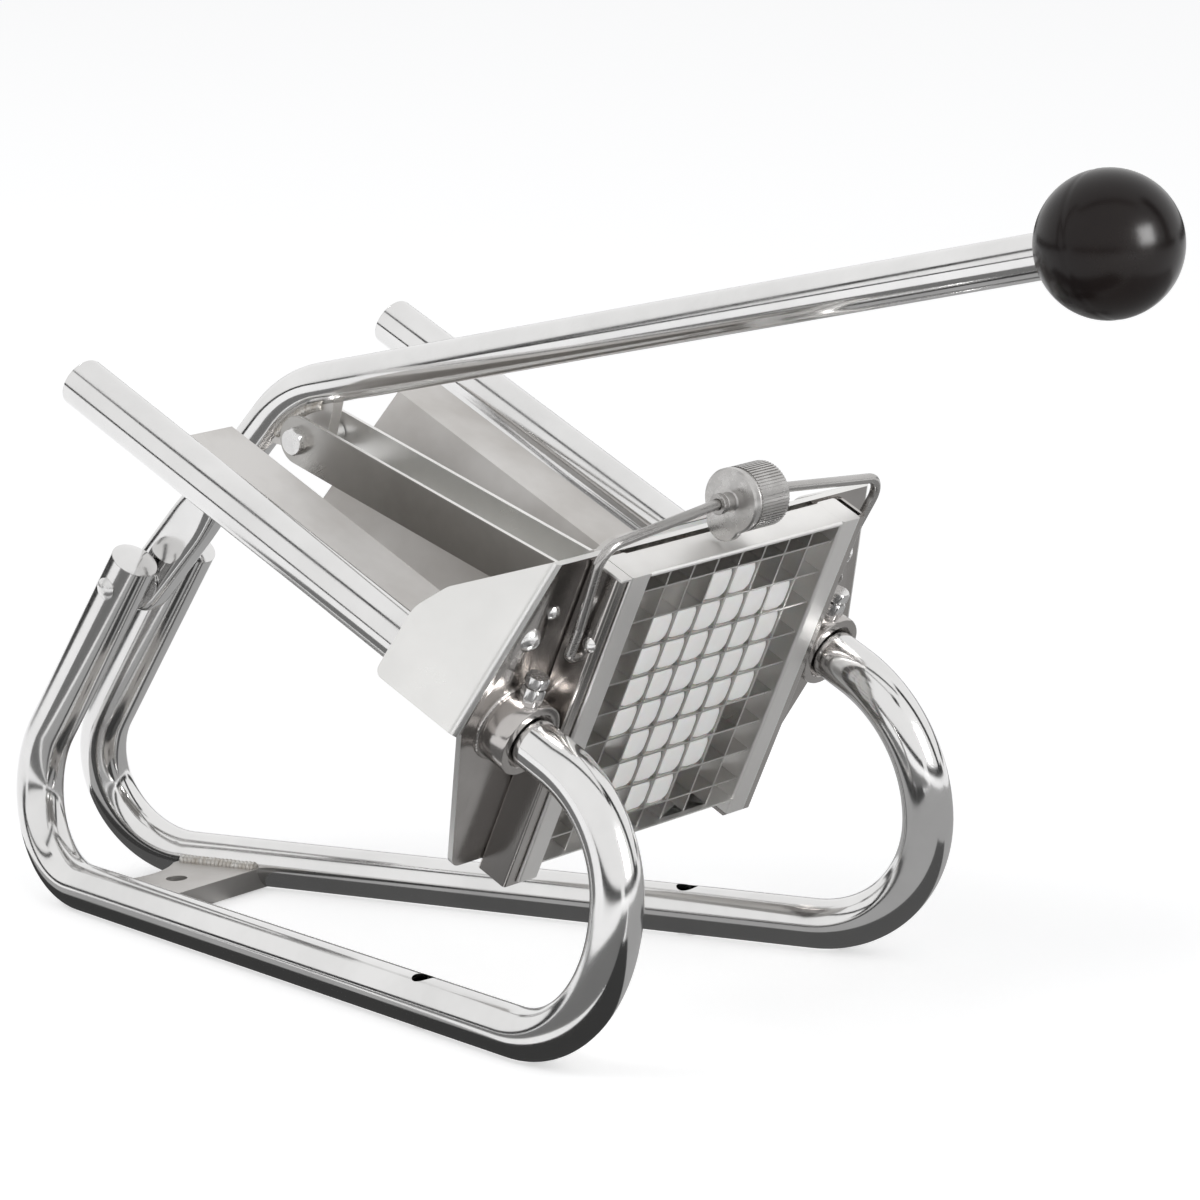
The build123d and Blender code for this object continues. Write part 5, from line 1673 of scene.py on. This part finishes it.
    def card(self, name: str, place: Triple, size: Pair, shade: float,
             turn: Optional[float] = None) -> None:
        """A card that only mirrors in the metal: a painted reflection, which lights nothing and
        casts no shadow.

        Args:
            name: Its name.
            place: Its centre, in metres.
            size: Width and height, in metres.
            shade: How bright it looks.
            turn: How far a level card is turned, in degrees, counter-clockwise from above.
                A card without it faces the object.
        """
        level = Matrix.Rotation(math.radians(turn or 0.0), 3, "Z").to_quaternion()
        made = self.panel(name, place, size, self.facing(place) if turn is None else level)
        nodes = bare(made.data.materials[0])
        dark = nodes.add("ShaderNodeEmission", {"Color": (shade, shade, shade, 1), "Strength": 1.0})
        nodes.add("ShaderNodeOutputMaterial", {"Surface": dark})
        made.visible_camera = made.visible_diffuse = False
        made.visible_shadow = made.visible_transmission = False

    def build(self) -> None:
        """Makes the studio."""
        self.camera()
        self.world()
        self.floor()
        self.lamp("key_lamp", (-3.2, -4.2, 5.2), (4.5, 3.6), 130.0)
        self.lamp("front_lamp", (2.3, -0.7, 0.7), (1.2, 0.9), 12.0)
        self.lamp("small_lamp", (2.2, -1.2, 1.2), (0.8, 0.8), 6.0)
        # Sheets on the floor that only the metal mirrors: painted shade under the object, darkest
        # in the strips under the rails, and a grey sheet in front that paints darker reflections on
        # the undersides.
        self.card("mat_wide", (0.15, 0.25, 0.0004), (1.0, 0.72), 0.42, 0.0)
        self.card("mat_front", (0.08, -0.24, 0.0002), (0.95, 0.22), 0.20, 0.0)
        self.card("mat_near", (-0.05, -0.058, 0.0006), (0.60, 0.066), 0.05, -self.splay)
        self.card("mat_rail", (-0.09, 0.065, 0.0008), (0.56, 0.06), 0.10, self.splay)
        # Dark cards round about that only the metal mirrors: painted reflections that streak the
        # tubes.
        far, high, first = self.horizon
        for i in range(4):
            turn = math.radians(first + 90 * i)
            place = (far * math.cos(turn), far * math.sin(turn), high)
            self.card(f"horizon_{i}", place, (5.0, 0.34), 0.03)
        # A bright card that only the metal mirrors and that lights nothing: a painted highlight on
        # the ball and the tubes.
        self.card("glint", (1.72, 0.12, 0.68), (0.64, 0.62), 20.0)
        # Dark bars to the sides and above, also painted reflections.
        self.card("bar_left", (-1.9, -1.9, 1.5), (0.28, 3.4), 0.03)
        self.card("bar_above", (0.5, -0.6, 2.6), (3.6, 0.26), 0.04)
        self.card("bar_right", (1.8, 1.5, 1.2), (0.5, 2.6), 0.03)
        bpy.context.scene.view_settings.view_transform = "Standard"


def main() -> None:
    """Builds every piece, then the studio."""
    logging.basicConfig(level=logging.INFO, format="%(name)s %(message)s")
    for part in (TubeFrame(), PlateFittings(), CuttingBlock(), Bail(), Lever(), Link(),
                 Carriage(), FeedTray(), Studio()):
        log.info("building %s", type(part).__name__)
        part.build()


if __name__ == "__main__":
    main()
